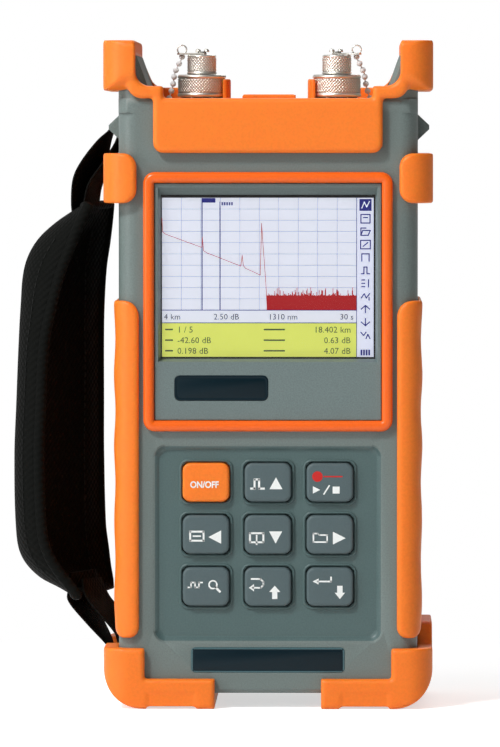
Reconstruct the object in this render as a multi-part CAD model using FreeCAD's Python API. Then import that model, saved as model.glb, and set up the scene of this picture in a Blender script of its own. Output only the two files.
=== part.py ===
"""Handheld optical time domain reflectometer: a grey two-shell case in orange rubber bumpers.

Millimetres. +X is to the instrument's right as its user sees it, +Y runs from the screen to the
back, and +Z is up. The origin is on the surface that the instrument stands on, under the middle
of the case. Every piece that comes apart on a bench is a solid of its own, in its own file.
"""

import FreeCAD
import Part
import math
import os

V = FreeCAD.Vector
os.makedirs("parts", exist_ok=True)
nodes = {}

# ---------------------------------------------------------------- driving dimensions
# case
base_z = 5.0                # underside of the case, above the feet
front_y = -31.0             # front face
back_y = 30.5               # back face
split_y = -16.0             # where the front and rear shells meet
wall = 2.4
edge_r = 6.0                # upright edges of the case
rim_bevel = 1.3             # its other front and back edges
base_cut = 6.0              # corners at the base, cut at 45 degrees under the rubber
case_border = 8.3           # case beside the display's ring
deck_rise = 21.75           # deck above the display's ring
ear_high = 16.5             # the two ears that guard the ports, above the deck
ear_thick = 6.1             # ear at its top
ear_foot = 12.0             # ear at the deck
brow_proud = 1.0            # small brow under each horn
brow_low = 2.4              # its foot, below the deck

# rubber
side_rubber = 5.0           # rubber proud of the case at its sides and base
face_rubber = 3.6           # rubber proud of its front and back
rubber_bevel = 0.9
apron_in = 11.6             # an apron's edge, in from the case's side
apron_gap = 6.25            # below the front apron, above the display's ring
deck_pad = 1.5              # rubber on the deck
deck_hole_gap = 0.3
apron_rise = 2.5            # apron's top edge above the deck
apron_over = 3.0            # its thickness above the case
rim_high = 6.5              # rim beside the horns, above the deck
rim_low = 2.4               # underside of that rim, above the brow
rim_in = 14.9               # where the front rim ends, in from the case's side
rear_rim_in = 27.3          # and the rear one
rim_foot_in = 3.1
rim_bend_r = 4.8
rear_slant = 4.2            # slant of the rear horns' inner edges, along the ears
horn_cap = 5.0              # rubber on top of an ear
horn_rise = 5.0             # horn's underside above the deck
horn_over = 5.8             # how far it reaches in over the ear
horn_bulge = 0.7            # horn's face proud of the other rubber
horn_low_r = 6.4            # curve under the horn
horn_high_r = 2.2
clip_over = 6.1
clip_drop = 15.6            # top of a side clip, below the deck
clip_high = 16.4
clip_r = 4.4
grip_over = 6.9
grip_rise = 18.3            # bottom of a grip, above the case's base
grip_drop = 64.0            # top of a grip, below the deck
grip_side = 1.6
grip_face = 2.4
grip_low_r, grip_high_r = 3.3, 5.0
scallop_pitch = 19.4
scallop_depth = 0.7
scallop_r = 26.0
scallop_count = 5
scallop_end = 4.5           # where a scallop stops, in from the case's face
corner_over = 8.7
corner_rise = 15.0          # top of a corner piece, above the case's base
arm_end = 17.5
arm_rise = 4.9
corner_outer_r = 13.0
foot_lift = 0.9             # hollow between the two pads of a foot
foot_notch_w, foot_notch_in = 16.2, 0.6
foot_recess, foot_recess_high = 0.4, 5.6    # shallow recess in a foot's front
lug_room = 0.4              # between a lug and the rubber around it
tongue_rise = 12.0          # tongue over the unused lower lug, above the lug's middle
tongue_front, tongue_back, tongue_taper = 6.0, 3.0, 1.0
tongue_front_r, tongue_back_r = 5.0, 3.0

# strap lugs and their bars
lug_y = 3.0
lug_gap = 21.0              # room for the webbing
lug_cheek = 2.2
lug_reach = 3.9
lug_height = 8.8
lug_drop = 7.0              # middle of the upper lugs, below the deck
lug_rise = 10.5             # middle of the lower lugs, above the case's base
lug_tip = 0.7               # half the width of its blunt tip
strap_bar_r = 0.8
strap_bar_out = 2.0         # bar's axis from the case's side
strap_bar_shift = 1.2       # bar's axis from the lug's middle, towards the strap

# display
window_w, window_h = 70.2, 53.0
bezel_side, bezel_top, bezel_low = 2.1, 4.4, 20.3
ring_band = 3.6
ring_high = 2.6
ring_corner_r = 3.3
ring_bevel = 1.2
panel_gap = 0.2             # around the bezel plate, in the case and the ring
panel_proud = 0.9
panel_flange = 1.3
panel_flange_thick = 1.2
window_side_slope = 1.0
window_top_slope = 3.2
window_low_slope = 1.2
lens_thick = 1.0
lens_border = 1.7
lcd_side, lcd_end, lcd_thick = 3.35, 5.45, 3.3
bracket_thick = 1.0
bracket_band = 6.0
bracket_foot_w = 3.0
stack_gap = 0.1             # between the layers of the display

# keypad
tray_w, tray_h = 75.8, 65.6
tray_rise = 16.6            # bottom of the tray, above the case's base
tray_gap = 4.25             # between the tray and the display's ring
tray_depth = 2.0
tray_floor = 2.2
tray_corner_r = 4.4
key_rows, key_columns = 3, 3
key_pitch_x, key_pitch_z = 20.4, 17.2
keys_up = 3.0               # middle key, above the tray's middle
key_w, key_h = 15.4, 12.8
key_corner = 1.4
key_bevel = 0.4
key_proud = 2.4             # key's top above the tray's floor
key_gap = 0.25
key_rim_w, key_rim_high = 1.05, 0.35    # raised rim of the tray's floor around each key
key_flange = 1.1
key_flange_thick = 1.0
key_play = 0.05             # behind the tray's floor, at rest
key_travel = 1.1
plunger_w = 3.6
plunger_long = 0.7
mat_side, mat_end = 0.9, 1.3    # mat's edge, in from the tray's
mat_thick = 1.2
mat_rim = 2.0
board_thick = 1.6
switch_w = 4.5
switch_high = 0.55
switch_gap = 0.05

# blank plates
low_plate_w, low_plate_h = 50.7, 8.4
low_plate_rise = 11.0       # its middle, above the case's base
top_plate_w, top_plate_h = 30.9, 8.4
top_plate_x = -15.3
top_plate_rise = 10.45      # its middle, above the panel's lower edge
plate_thick = 0.6
plate_pocket = 0.4
plate_corner_r = 1.7

# ports on the deck
port_x = 22.5
port_y = 0.0
adapter_tail_r = 4.5
adapter_tail_gap = 0.1
adapter_tail_long = 14.5
adapter_flange_half = 6.9
adapter_flange = 3.1
thread_r = 3.95
thread_long = 11.8
ferrule_bore_r, ferrule_bore_long = 1.28, 8.0
lock_nut_r = 8.1
lock_nut_long = 7.4
nut_clearance = 0.1
back_nut_r = 7.2
back_nut_thick = 3.0
cap_r = 4.95
cap_long = 6.5
cap_clearance = 0.1
cap_gap = 0.1               # under a closed cap
cap_roof = 1.9
rivet_fit = 0.05
rivet_head_r, rivet_head = 1.4, 0.5
swivel_thick = 0.6
swivel_end_r = 1.6
eye_reach = 6.6             # from the cap's axis to the chain's eye
eye_r = 0.8
bead_r = 1.25
bead_link_half = 0.3
bead_drops = ((0, 0, 0), (0.6, 0, -1.9), (1.6, 0, -4.3), (2.9, 0.3, -6.7), (2.6, 1.6, -9.2),
              (3.0, 3.2, -11.6), (4.4, 4.4, -13.7))
guard_gap = 0.5
guard_thick = 1.1
guard_high = 7.7            # above the deck pad
guard_wrap = 5.2            # how far it wraps forward of the port's axis

# service sockets under the flap
flap_w, flap_long = 17.6, 20.0
flap_thick = 2.1
flap_hinge_r = 1.05
flap_bevel = 0.5
flap_opening_w, flap_opening_long = 15.2, 10.0
flap_strip_long = 3.6
flap_strip_thick = 1.1
flap_gap = 0.3
socket_top_drop = 0.3       # sockets' top below the deck's surface
socket_high = 11.0
usb_w, usb_d, usb_wall, usb_floor = 7.6, 4.0, 0.5, 2.0
jack_half, jack_bore_r, jack_pin_r = 3.4, 2.8, 0.8
io_board_w, io_board_d, io_board_thick = 24.0, 14.0, 1.2
io_post_w = 3.2
io_post_x = 9.6

# inside
main_board_y = -13.0
main_board_in = 12.5        # its edges, in from the case's sides
main_board_rise, main_board_drop = 17.0, 24.5
spacer_w = 4.0
spacer_x = 30.0
spacer_heights = (34.0, 74.0)
middle_post_z = 102.0
top_post_drop = 3.0
module_w, module_h, module_d = 46.0, 62.0, 15.0
module_rim = 1.6
module_x, module_drop = -12.0, 6.0
pigtail_r = 0.6
laser_r, laser_long = 4.5, 37.0
clamp_w, clamp_h = 14.0, 14.0
buzzer_w, buzzer_thick = 12.0, 4.0
buzzer_x, buzzer_z = 22.0, 98.0
hidden_sides = 12           # sides of the round pieces that nothing shows

# battery
cell_r, cell_long, cell_count = 9.3, 66.0, 3
pack_corner = 5.4           # corners of the shrink-wrapped pack
battery_front_y = 7.2
battery_rise = 15.6         # above the case's base
pocket_gap = 0.6
pocket_wall = 1.6
door_side, door_low, door_high = 3.2, 4.0, 15.6      # door beyond the cells
door_gap = 0.3
door_ledge = 2.2            # thickness of the door
door_rib = 1.4
door_corner = 1.4
door_frame = 1.6            # ledge around the battery's pocket
door_screw_x, door_screw_drop = 28.0, 5.5
door_screw_r, door_screw_head_r, door_screw_head = 1.25, 2.4, 1.2
door_screw_fit = 0.05
door_screw_long = 8.0
door_boss_half, door_boss_end = 4.0, 2.0
contact_w = 6.0
shank_sides = 12

# case screws
screw_in = 12.5             # in from the case's sides
screw_rise, screw_drop = 9.2, 19.1
screw_r, screw_head_r, screw_head = 1.45, 2.75, 1.8
screw_long = 26.0
screw_seat_y = 6.0
column_w = 8.8
boss_w = 6.4
well_r = 3.1
screw_gap = 0.2

# stand
stand_half = 29.6
stand_over_door = 9.0
stand_thick = 2.6
stand_sunk = 0.3            # below the case's back
stand_gap = 0.6
stand_corner = 1.6
stand_floor_gap = 0.4
hinge_drop = 27.5           # hinge's axis, below the deck
hinge_sunk = 0.2            # hinge's round, below the case's back
hinge_r = 1.9
hinge_pin_r = 1.0
hinge_fit = 0.05
stand_top_gap = 2.4         # panel's top edge, below the hinge's axis
stand_notch_half = 9.0
stand_notch = 6.5
stand_rib, stand_hollow, stand_rows = 2.4, 1.4, 3

# gasket
gasket_w, gasket_thick = 1.0, 1.2
gasket_gap = 0.05

# strap; places across are measured outwards from the case's side
webbing_w, webbing_thick = 20.0, 1.0
pad_thick = 6.0
pad_rise, pad_drop = 31.0, 32.7     # its ends, from the case's base and the deck
pad_front_out, pad_front_y = 24.7, -21.0
pad_middle_out, pad_middle_y = 31.1, 1.0
pad_rear_out, pad_rear_y = 8.7, 26.0
pad_draw_in = 13.0          # how far its ends are drawn in towards the case
pad_bend_h = 14.0           # height over which they are drawn in
pad_tip = 3.0               # its thickness there
pad_chords = 10
tail_out, tail_in = 0.6, 2.2        # the webbing's two runs at the pad's end
upper_outer = ((16.7, -20.0), (11.2, -6.9))
upper_inner = ((0.3, -4.7), (5.6, -7.9), (7.7, -18.5))
lower_outer = ((17.3, 15.5),)
lower_inner = ((0.3, 4.1), (3.0, 8.5), (5.7, 15.5))
strap_fit = 0.15

# ---------------------------------------------------------------- sizes that follow from those
panel_w = window_w + 2 * bezel_side
panel_h = window_h + bezel_top + bezel_low
ring_w, ring_h = (size + 2 * (ring_band + panel_gap) for size in (panel_w, panel_h))
half_width = ring_w / 2 + case_border
tray_mid_z = base_z + tray_rise + tray_h / 2
key_mid_z = tray_mid_z + keys_up
ring_mid_z = tray_mid_z + (tray_h + ring_h) / 2 + tray_gap
window_z = ring_mid_z + (bezel_low - bezel_top) / 2
deck_z = ring_mid_z + ring_h / 2 + deck_rise
ear_z = deck_z + ear_high
apron_half = half_width - apron_in
apron_low_z = ring_mid_z + ring_h / 2 + apron_gap
rim_foot = half_width - rim_foot_in
horn_inner = half_width - horn_over
horn_z, horn_low_z = ear_z + horn_cap, deck_z + horn_rise
clip_inner, clip_high_z = half_width - clip_over, deck_z - clip_drop
clip_low_z = clip_high_z - clip_high
grip_inner = half_width - grip_over
grip_low_z, grip_high_z = base_z + grip_rise, deck_z - grip_drop
corner_inner, corner_high_z = half_width - corner_over, base_z + corner_rise
arm_high_z = base_z + arm_rise
lug_high_z, lug_low_z = deck_z - lug_drop, base_z + lug_rise
lug_cover_z = lug_low_z + tongue_rise
lcd_w, lcd_h = window_w + 2 * lcd_side, window_h + 2 * lcd_end
mat_w, mat_h = tray_w - 2 * mat_side, tray_h - 2 * mat_end
low_plate_z = base_z + low_plate_rise
top_plate_z = ring_mid_z - panel_h / 2 + top_plate_rise
main_board_half = half_width - main_board_in
main_board_low, main_board_high = base_z + main_board_rise, deck_z - main_board_drop
post_heights = spacer_heights + (middle_post_z, main_board_high - top_post_drop)
module_low = main_board_high - module_drop - module_h
battery_low_z = base_z + battery_rise
battery_high_z = battery_low_z + 2 * cell_r * cell_count
door_half = cell_long / 2 + door_side
door_low_z, door_high_z = battery_low_z - door_low, battery_high_z + door_high
door_screw_z = door_high_z - door_screw_drop
screw_x = half_width - screw_in
screw_low_z, screw_high_z = base_z + screw_rise, deck_z - screw_drop
hinge_z = deck_z - hinge_drop
stand_low_z, stand_high_z = door_high_z + stand_over_door, hinge_z - stand_top_gap
pad_low_z, pad_high_z = base_z + pad_rise, deck_z - pad_drop


# ---------------------------------------------------------------- shared constructions
def at(plane, level, u, v):
    """A point of a plane: 'xz' at y = level, 'xy' at z = level or 'yz' at x = level."""
    if plane == "xz":
        return V(u, level, v)
    if plane == "xy":
        return V(u, v, level)
    return V(level, u, v)


def outline(plane, level, corners):
    """A closed wire through corners (u, v, radius), each rounded by its own radius."""
    points = [at(plane, level, u, v) for u, v, _ in corners]
    edges, ends = [], []
    for i, (_, _, radius) in enumerate(corners):
        here, before = points[i], points[i - 1]
        after = points[(i + 1) % len(points)]
        to_before, to_after = (before - here).normalize(), (after - here).normalize()
        if radius <= 0:
            ends.append((here, here))
            continue
        half = to_before.getAngle(to_after) / 2
        run = radius / math.tan(half)
        start, end = here + to_before * run, here + to_after * run
        middle = (to_before + to_after).normalize()
        centre = here + middle * (radius / math.sin(half))
        edges.append(Part.Arc(start, centre - middle * radius, end).toShape())
        ends.append((start, end))
    for i, (_, end) in enumerate(ends):
        start = ends[(i + 1) % len(ends)][0]
        if end.distanceToPoint(start) > 1e-6:
            edges.append(Part.LineSegment(end, start).toShape())
    return Part.Wire(Part.__sortEdges__(edges))


def prism(plane, low, high, corners):
    """The outline's solid from low to high along the plane's normal."""
    along = at(plane, high - low, 0, 0)
    return Part.Face(outline(plane, low, corners)).extrude(along)


def rectangle(width, height, mid_u, mid_v, radius):
    """Corners of a rounded rectangle, for outline and prism."""
    u, v = width / 2, height / 2
    return [(mid_u - u, mid_v - v, radius), (mid_u + u, mid_v - v, radius),
            (mid_u + u, mid_v + v, radius), (mid_u - u, mid_v + v, radius)]


def cut_rectangle(width, height, mid_u, mid_v, cut):
    """Corners of a rectangle whose corners are cut off at 45 degrees."""
    u, v = width / 2, height / 2
    return [(mid_u + a, mid_v + b, 0) for a, b in (
        (cut - u, -v), (u - cut, -v), (u, cut - v), (u, v - cut),
        (u - cut, v), (cut - u, v), (-u, v - cut), (-u, cut - v))]


def ngon(sides, radius, mid_u, mid_v):
    """Corners of a regular polygon on a circle."""
    turns = [2 * math.pi * (i + 0.5) / sides for i in range(sides)]
    return [(mid_u + radius * math.cos(a), mid_v + radius * math.sin(a), 0) for a in turns]


def block(x0, x1, y0, y1, z0, z1):
    return Part.makeBox(x1 - x0, y1 - y0, z1 - z0, V(x0, y0, z0))


def rod(radius, start, end):
    """A cylinder between two points."""
    axis = end - start
    return Part.makeCylinder(radius, axis.Length, start, axis)


def ring(outer_r, inner_r, start, end):
    return rod(outer_r, start, end).cut(rod(inner_r, start, end))


def tapered(sections):
    """A solid with straight sides through wires that have the same edges."""
    return Part.makeLoft(sections, True, True)


def joined(first, *others):
    return first.fuse(list(others)).removeSplitter()


def edges_on(shape, axis, level):
    """The edges that lie wholly in the plane axis = level."""
    low, high = {"x": ("XMin", "XMax"), "y": ("YMin", "YMax"), "z": ("ZMin", "ZMax")}[axis]
    found = []
    for edge in shape.Edges:
        box = edge.BoundBox
        if abs(getattr(box, low) - level) < 1e-4 and abs(getattr(box, high) - level) < 1e-4:
            found.append(edge)
    return found


def bevelled(shape, size, *planes):
    """The shape with every edge in the given (axis, level) planes bevelled."""
    chosen = [e for axis, level in planes for e in edges_on(shape, axis, level)]
    return shape.makeChamfer(size, chosen)


def framed(corners_out, corners_in, low, high):
    """A flat ring between two outlines of the front view."""
    return prism("xz", low, high, corners_out).cut(prism("xz", low - 1, high + 1, corners_in))


def post(size, x, z, low, high):
    """A square post along Y."""
    half = size / 2
    return block(x - half, x + half, low, high, z - half, z + half)


def mirrored(shape):
    return shape.mirror(V(0, 0, 0), V(1, 0, 0))


# ---------------------------------------------------------------- case
def case_body():
    """The closed outer form of the case: side view rounded, front view with two ears."""
    ear_inner = half_width - ear_thick
    ear_base = half_width - ear_foot
    corners = [
        (-half_width, base_z + base_cut, 0), (-half_width + base_cut, base_z, 0),
        (half_width - base_cut, base_z, 0), (half_width, base_z + base_cut, 0),
        (half_width, ear_z, 0), (ear_inner, ear_z, 0), (ear_base, deck_z, 0),
        (-ear_base, deck_z, 0), (-ear_inner, ear_z, 0), (-half_width, ear_z, 0),
    ]
    front_view = prism("xz", front_y, back_y, corners)
    front_view = bevelled(front_view, rim_bevel, ("y", front_y), ("y", back_y))
    depth, mid_y = back_y - front_y, (back_y + front_y) / 2
    plan = rectangle(2 * half_width, depth, 0, mid_y, edge_r)
    body = front_view.common(prism("xy", 0, ear_z, plan))
    brow_y = front_y - brow_proud
    brow_plan = rectangle(2 * half_width, back_y - brow_y, 0, (back_y + brow_y) / 2, edge_r)
    low, high = deck_z - brow_low, deck_z + rim_low
    brow = prism("yz", -half_width, half_width, [
        (front_y + edge_r, low, 0), (front_y, low, 0), (brow_y, low + brow_low, 0),
        (brow_y, high - brow_proud, 0), (front_y, high, 0), (front_y + edge_r, high, 0)])
    brow = brow.common(prism("xy", 0, ear_z, brow_plan))
    brow = brow.cut(block(-ear_base, ear_base, brow_y - 1, front_y + edge_r + 1, 0, ear_z))
    return body.fuse(brow).removeSplitter()


def cavity_corners(grow):
    """The case's inner outline in the front view, grown outwards by grow."""
    inside, low, high = half_width - wall + grow, base_z + wall - grow, deck_z - wall + grow
    cut = base_cut - 0.6 * (wall - grow)
    return [(-inside, low + cut, 0), (-inside + cut, low, 0), (inside - cut, low, 0),
            (inside, low + cut, 0), (inside, high, 0), (-inside, high, 0)]


def case_cavity():
    hollow = prism("xz", front_y + wall, back_y - wall, cavity_corners(0))
    cut, reach = edge_r - wall, half_width - wall
    low, high = front_y + wall, back_y - wall
    plan = [(-reach, low + cut, 0), (-reach + cut, low, 0), (reach - cut, low, 0),
            (reach, low + cut, 0), (reach, high - cut, 0), (reach - cut, high, 0),
            (-reach + cut, high, 0), (-reach, high - cut, 0)]
    return hollow.common(prism("xy", 0, ear_z, plan))


def gasket_ring(clearance):
    """The seal's ring between the two shells; with a clearance, the groove that it lies in."""
    start = (wall - gasket_w) / 2
    outer = cavity_corners(start + gasket_w + clearance)
    inner = cavity_corners(start - clearance)
    low, high = split_y - gasket_thick / 2, split_y + gasket_thick / 2
    low, high = low - clearance, high + clearance
    return prism("xz", low, high, outer).cut(prism("xz", low, high, inner))


def screw_places():
    return [(x, z) for x in (-screw_x, screw_x) for z in (screw_low_z, screw_high_z)]


def core_corners(x, z):
    """The hexagonal core that a case screw fills."""
    return ngon(6, screw_r / math.cos(math.pi / 6), x, z)


def screw_hole(x, z, low, high):
    return prism("xz", low, high, core_corners(x, z))


def key_places():
    for row in range(key_rows):
        for column in range(key_columns):
            x = (column - (key_columns - 1) / 2) * key_pitch_x
            z = key_mid_z + ((key_rows - 1) / 2 - row) * key_pitch_z
            yield row, column, x, z


def post_places():
    """Where posts of the rear shell carry the main board."""
    return [(x, z) for x in (-spacer_x, spacer_x) for z in post_heights]


case = case_body()
cavity = case_cavity()
tray_y = front_y + tray_depth               # tray's floor, outside
tray_back_y = tray_y + tray_floor           # and inside
panel_back_y = front_y + wall
board_back_y = main_board_y + board_thick


def front_shell():
    """Shallow front half: sunken keypad tray, display opening, screw bosses."""
    shell = case.common(block(-half_width, half_width, front_y - brow_proud, split_y, 0, ear_z))
    shell = shell.cut(cavity)
    backing = rectangle(tray_w, tray_h, 0, tray_mid_z, 0)
    shell = shell.fuse(prism("xz", front_y + wall / 2, tray_back_y, backing))
    bosses = [post(boss_w, x, z, front_y + wall / 2, split_y) for x, z in screw_places()]
    shell = shell.fuse(bosses)
    mouth = rectangle(tray_w, tray_h, 0, tray_mid_z, tray_corner_r)
    tray = prism("xz", front_y - tray_depth, tray_y, mouth)
    cuts, rims = [bevelled(tray, tray_depth, ("y", tray_y))], []
    for _, _, x, z in key_places():
        hole = cut_rectangle(key_w + 2 * key_gap, key_h + 2 * key_gap, x, z, key_corner)
        cuts.append(prism("xz", front_y - 1, tray_back_y + 1, hole))
        rim = cut_rectangle(key_w + 2 * key_rim_w, key_h + 2 * key_rim_w, x, z,
                            key_corner + key_rim_w / 2)
        rims.append(framed(rim, hole, tray_y - key_rim_high, tray_y))
    opening = rectangle(panel_w + 2 * panel_gap, panel_h + 2 * panel_gap, 0, ring_mid_z, 0)
    cuts.append(prism("xz", front_y - 1, panel_back_y + 1, opening))
    plate = rectangle(low_plate_w, low_plate_h, 0, low_plate_z, plate_corner_r)
    cuts.append(prism("xz", front_y - 1, front_y + plate_pocket, plate))
    for x, z in screw_places():
        cuts.append(screw_hole(x, z, screw_seat_y - screw_long, split_y))
    cuts.append(gasket_ring(gasket_gap))
    return joined(shell.cut(cuts), *rims)


def stand_corners(grow):
    low, high = stand_low_z - grow, stand_high_z + grow
    return cut_rectangle(2 * (stand_half + grow), high - low, 0, (high + low) / 2, stand_corner)


stand_front_y = back_y - stand_sunk - stand_thick       # inner face of the folded stand
hinge_y = back_y - hinge_r - hinge_sunk
stand_floor_y = stand_front_y - stand_floor_gap
hinge_floor_y = hinge_y - hinge_r - stand_floor_gap
door_back_y = back_y - door_ledge                # ledge that the door lies on
pocket_half = cell_long / 2 + pocket_gap


def lug(z, towards_strap):
    """A strap lug on the left side: two triangular cheeks and the bar between them."""
    x = -half_width
    low, high = z - lug_height / 2, z + lug_height / 2
    profile = [(x + 1, low, 0), (x + 1, high, 0), (x, high, 0), (x - lug_reach, z + lug_tip, 0),
               (x - lug_reach, z - lug_tip, 0), (x, low, 0)]
    half = lug_gap / 2 + lug_cheek
    ear = prism("xz", lug_y - half, lug_y + half, profile)
    gap = block(x - lug_reach - 1, x, lug_y - lug_gap / 2, lug_y + lug_gap / 2, low - 1, high + 1)
    bar_x, bar_z = x - strap_bar_out, z + towards_strap * strap_bar_shift
    bar = prism("xz", lug_y - half, lug_y + half,
                cut_rectangle(2 * strap_bar_r, 2 * strap_bar_r, bar_x, bar_z, strap_bar_r / 2))
    return joined(ear.cut(gap), bar)


def lugs():
    left = [lug(lug_high_z, -1), lug(lug_low_z, 1)]
    return left + [mirrored(piece) for piece in left]


def rear_shell():
    """Deep rear half: battery pocket, stand recess, screw wells, port holes and strap lugs."""
    shell = case.common(block(-half_width, half_width, split_y, back_y, 0, ear_z)).cut(cavity)
    inner_y = back_y - wall
    pocket = block(-pocket_half - pocket_wall, pocket_half + pocket_wall,
                   battery_front_y - pocket_gap - pocket_wall, inner_y + 1,
                   battery_low_z - pocket_gap - pocket_wall,
                   battery_high_z + pocket_gap + pocket_wall)
    frame = cut_rectangle(2 * (door_half + door_frame), door_high_z - door_low_z + 2 * door_frame, 0,
                          (door_high_z + door_low_z) / 2, door_corner)
    added = [pocket, prism("xz", door_back_y - door_frame, inner_y + 1, frame)]
    for x, z in post_places():
        added.append(post(spacer_w, x, z, board_back_y, inner_y - wall))
    for x in (-door_screw_x, door_screw_x):
        added.append(block(x - door_boss_half, x + door_boss_half,
                           inner_y - door_screw_long - door_boss_end, inner_y + 1,
                           battery_high_z, door_screw_z + door_boss_half))
    recess = stand_corners(stand_gap)
    added.append(prism("xz", stand_floor_y - wall, inner_y + 1, stand_corners(stand_gap + wall)))
    knuckle_low, knuckle_high = hinge_z - hinge_r - stand_gap, hinge_z + hinge_r + stand_gap
    added.append(block(-stand_half - stand_gap - wall, stand_half + stand_gap + wall,
                       hinge_floor_y - wall, inner_y + 1, knuckle_low - wall, knuckle_high + wall))
    for x, z in screw_places():
        added.append(post(column_w, x, z, split_y, inner_y + 1))
    for side in (-1, 1):
        post_low = deck_z - socket_top_drop - socket_high
        x, half = side * io_post_x, io_post_w / 2
        added.append(block(x - half, x + half, port_y - half, port_y + half,
                           post_low, deck_z - wall / 2))
    shell = shell.fuse(added + lugs())
    low, high = battery_low_z - pocket_gap, battery_high_z + pocket_gap
    cuts = [block(-pocket_half, pocket_half, battery_front_y - pocket_gap, back_y + 1, low, high)]
    door = cut_rectangle(2 * door_half, door_high_z - door_low_z, 0,
                         (door_high_z + door_low_z) / 2, door_corner)
    cuts.append(prism("xz", door_back_y, back_y + 1, door))
    for x in (-door_screw_x, door_screw_x):
        hole = ngon(shank_sides, door_screw_r + door_screw_fit, x, door_screw_z)
        cuts.append(prism("xz", door_back_y - door_screw_long, back_y, hole))
    cuts.append(prism("xz", stand_floor_y, back_y + 1, recess))
    cuts.append(block(-stand_half - stand_gap, stand_half + stand_gap, hinge_floor_y, back_y + 1,
                      knuckle_low, knuckle_high))
    notch_z = stand_low_z - stand_gap
    cuts.append(rod(stand_notch, V(-stand_notch_half, back_y + stand_notch / 2, notch_z),
                    V(stand_notch_half, back_y + stand_notch / 2, notch_z)))
    for x, z in screw_places():
        cuts.append(rod(well_r, V(x, screw_seat_y, z), V(x, back_y + 1, z)))
        cuts.append(screw_hole(x, z, split_y - 1, screw_seat_y + 1))
    for x in (-port_x, port_x):
        hole = ngon(hidden_sides, adapter_tail_r + adapter_tail_gap, x, port_y)
        cuts.append(prism("xy", deck_z - 2 * wall, deck_z + 1, hole))
    opening = rectangle(flap_opening_w, flap_opening_long, 0, port_y, 0)
    cuts.append(prism("xy", deck_z - 2 * wall, deck_z + 1, opening))
    cuts.append(gasket_ring(gasket_gap))
    return shell.cut(cuts)


# ---------------------------------------------------------------- display
panel_face_y = front_y - panel_proud
panel_rear_y = panel_back_y + panel_flange_thick
lens_w, lens_h = window_w + 2 * lens_border, window_h + 2 * lens_border
lcd_y = panel_rear_y + stack_gap


def screen_ring():
    outer = rectangle(ring_w, ring_h, 0, ring_mid_z, ring_corner_r)
    inner = rectangle(ring_w - 2 * ring_band, ring_h - 2 * ring_band, 0, ring_mid_z, 0)
    bead = framed(outer, inner, front_y - ring_high, front_y)
    return bevelled(bead, ring_bevel, ("y", front_y - ring_high))


def screen_panel():
    plate = prism("xz", panel_face_y, panel_rear_y, rectangle(panel_w, panel_h, 0, ring_mid_z, 0))
    flange = rectangle(panel_w + 2 * panel_flange, panel_h + 2 * panel_flange, 0, ring_mid_z, 0)
    plate = plate.fuse(prism("xz", panel_back_y, panel_rear_y, flange))
    mouth_w = window_w + 2 * window_side_slope
    mouth_h = window_h + window_top_slope + window_low_slope
    mouth_z = window_z + (window_top_slope - window_low_slope) / 2
    mouth = outline("xz", panel_face_y, rectangle(mouth_w, mouth_h, 0, mouth_z, 0))
    throat = outline("xz", panel_rear_y, rectangle(window_w, window_h, 0, window_z, 0))
    lens_seat = prism("xz", panel_rear_y - lens_thick, panel_rear_y + 1,
                      rectangle(lens_w, lens_h, 0, window_z, 0))
    badge = rectangle(top_plate_w, top_plate_h, top_plate_x, top_plate_z, plate_corner_r)
    pocket = prism("xz", panel_face_y - 1, panel_face_y + plate_pocket, badge)
    return plate.cut([tapered([mouth, throat]), lens_seat, pocket])


def blank_plate(width, height, x, z, face_y):
    """A thin plate in its pocket, standing a little proud of the face."""
    back_y = face_y + plate_pocket
    return prism("xz", back_y - plate_thick, back_y, rectangle(width, height, x, z, plate_corner_r))


nodes["front_shell"] = front_shell()
nodes["rear_shell"] = rear_shell()
nodes["case_gasket"] = gasket_ring(0)
nodes["screen_ring"] = screen_ring()
nodes["screen_panel"] = screen_panel()
nodes["screen_lens"] = prism("xz", panel_rear_y - lens_thick, panel_rear_y,
                             rectangle(lens_w, lens_h, 0, window_z, 0))
nodes["lcd_module"] = prism("xz", lcd_y, lcd_y + lcd_thick, rectangle(lcd_w, lcd_h, 0, window_z, 0))
nodes["small_plate"] = blank_plate(top_plate_w, top_plate_h, top_plate_x, top_plate_z, panel_face_y)
nodes["large_plate"] = blank_plate(low_plate_w, low_plate_h, 0, low_plate_z, front_y)


def lcd_bracket():
    """A pressed frame behind the display, with feet that stand on the main board."""
    low = lcd_y + lcd_thick + stack_gap
    outer = rectangle(lcd_w, lcd_h, 0, window_z, 0)
    inner = rectangle(lcd_w - 2 * bracket_band, lcd_h - 2 * bracket_band, 0, window_z, 0)
    frame = framed(outer, inner, low, low + bracket_thick)
    reach_x, reach_z = (lcd_w - bracket_band) / 2, (lcd_h - bracket_band) / 2
    feet = [post(bracket_foot_w, x, window_z + z, low, main_board_y)
            for x in (-reach_x, reach_x) for z in (-reach_z, reach_z)]
    return joined(frame, *feet)


nodes["lcd_bracket"] = lcd_bracket()


# ---------------------------------------------------------------- keypad
flange_y = tray_back_y + key_play                 # front of a key's flange at rest
plunger_end_y = flange_y + key_flange_thick + plunger_long
switch_y = plunger_end_y + key_travel + switch_gap
key_board_y = switch_y + switch_high


def key(x, z):
    """A moulded key with its retaining flange and plunger."""
    top_y = tray_y - key_proud
    body = prism("xz", top_y, flange_y, cut_rectangle(key_w, key_h, x, z, key_corner))
    body = bevelled(body, key_bevel, ("y", top_y))
    flange_w, flange_h = key_w + 2 * key_flange, key_h + 2 * key_flange
    flange = prism("xz", flange_y, flange_y + key_flange_thick,
                   rectangle(flange_w, flange_h, x, z, 0))
    plunger = post(plunger_w, x, z, flange_y, plunger_end_y)
    return joined(body, flange, plunger)


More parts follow.
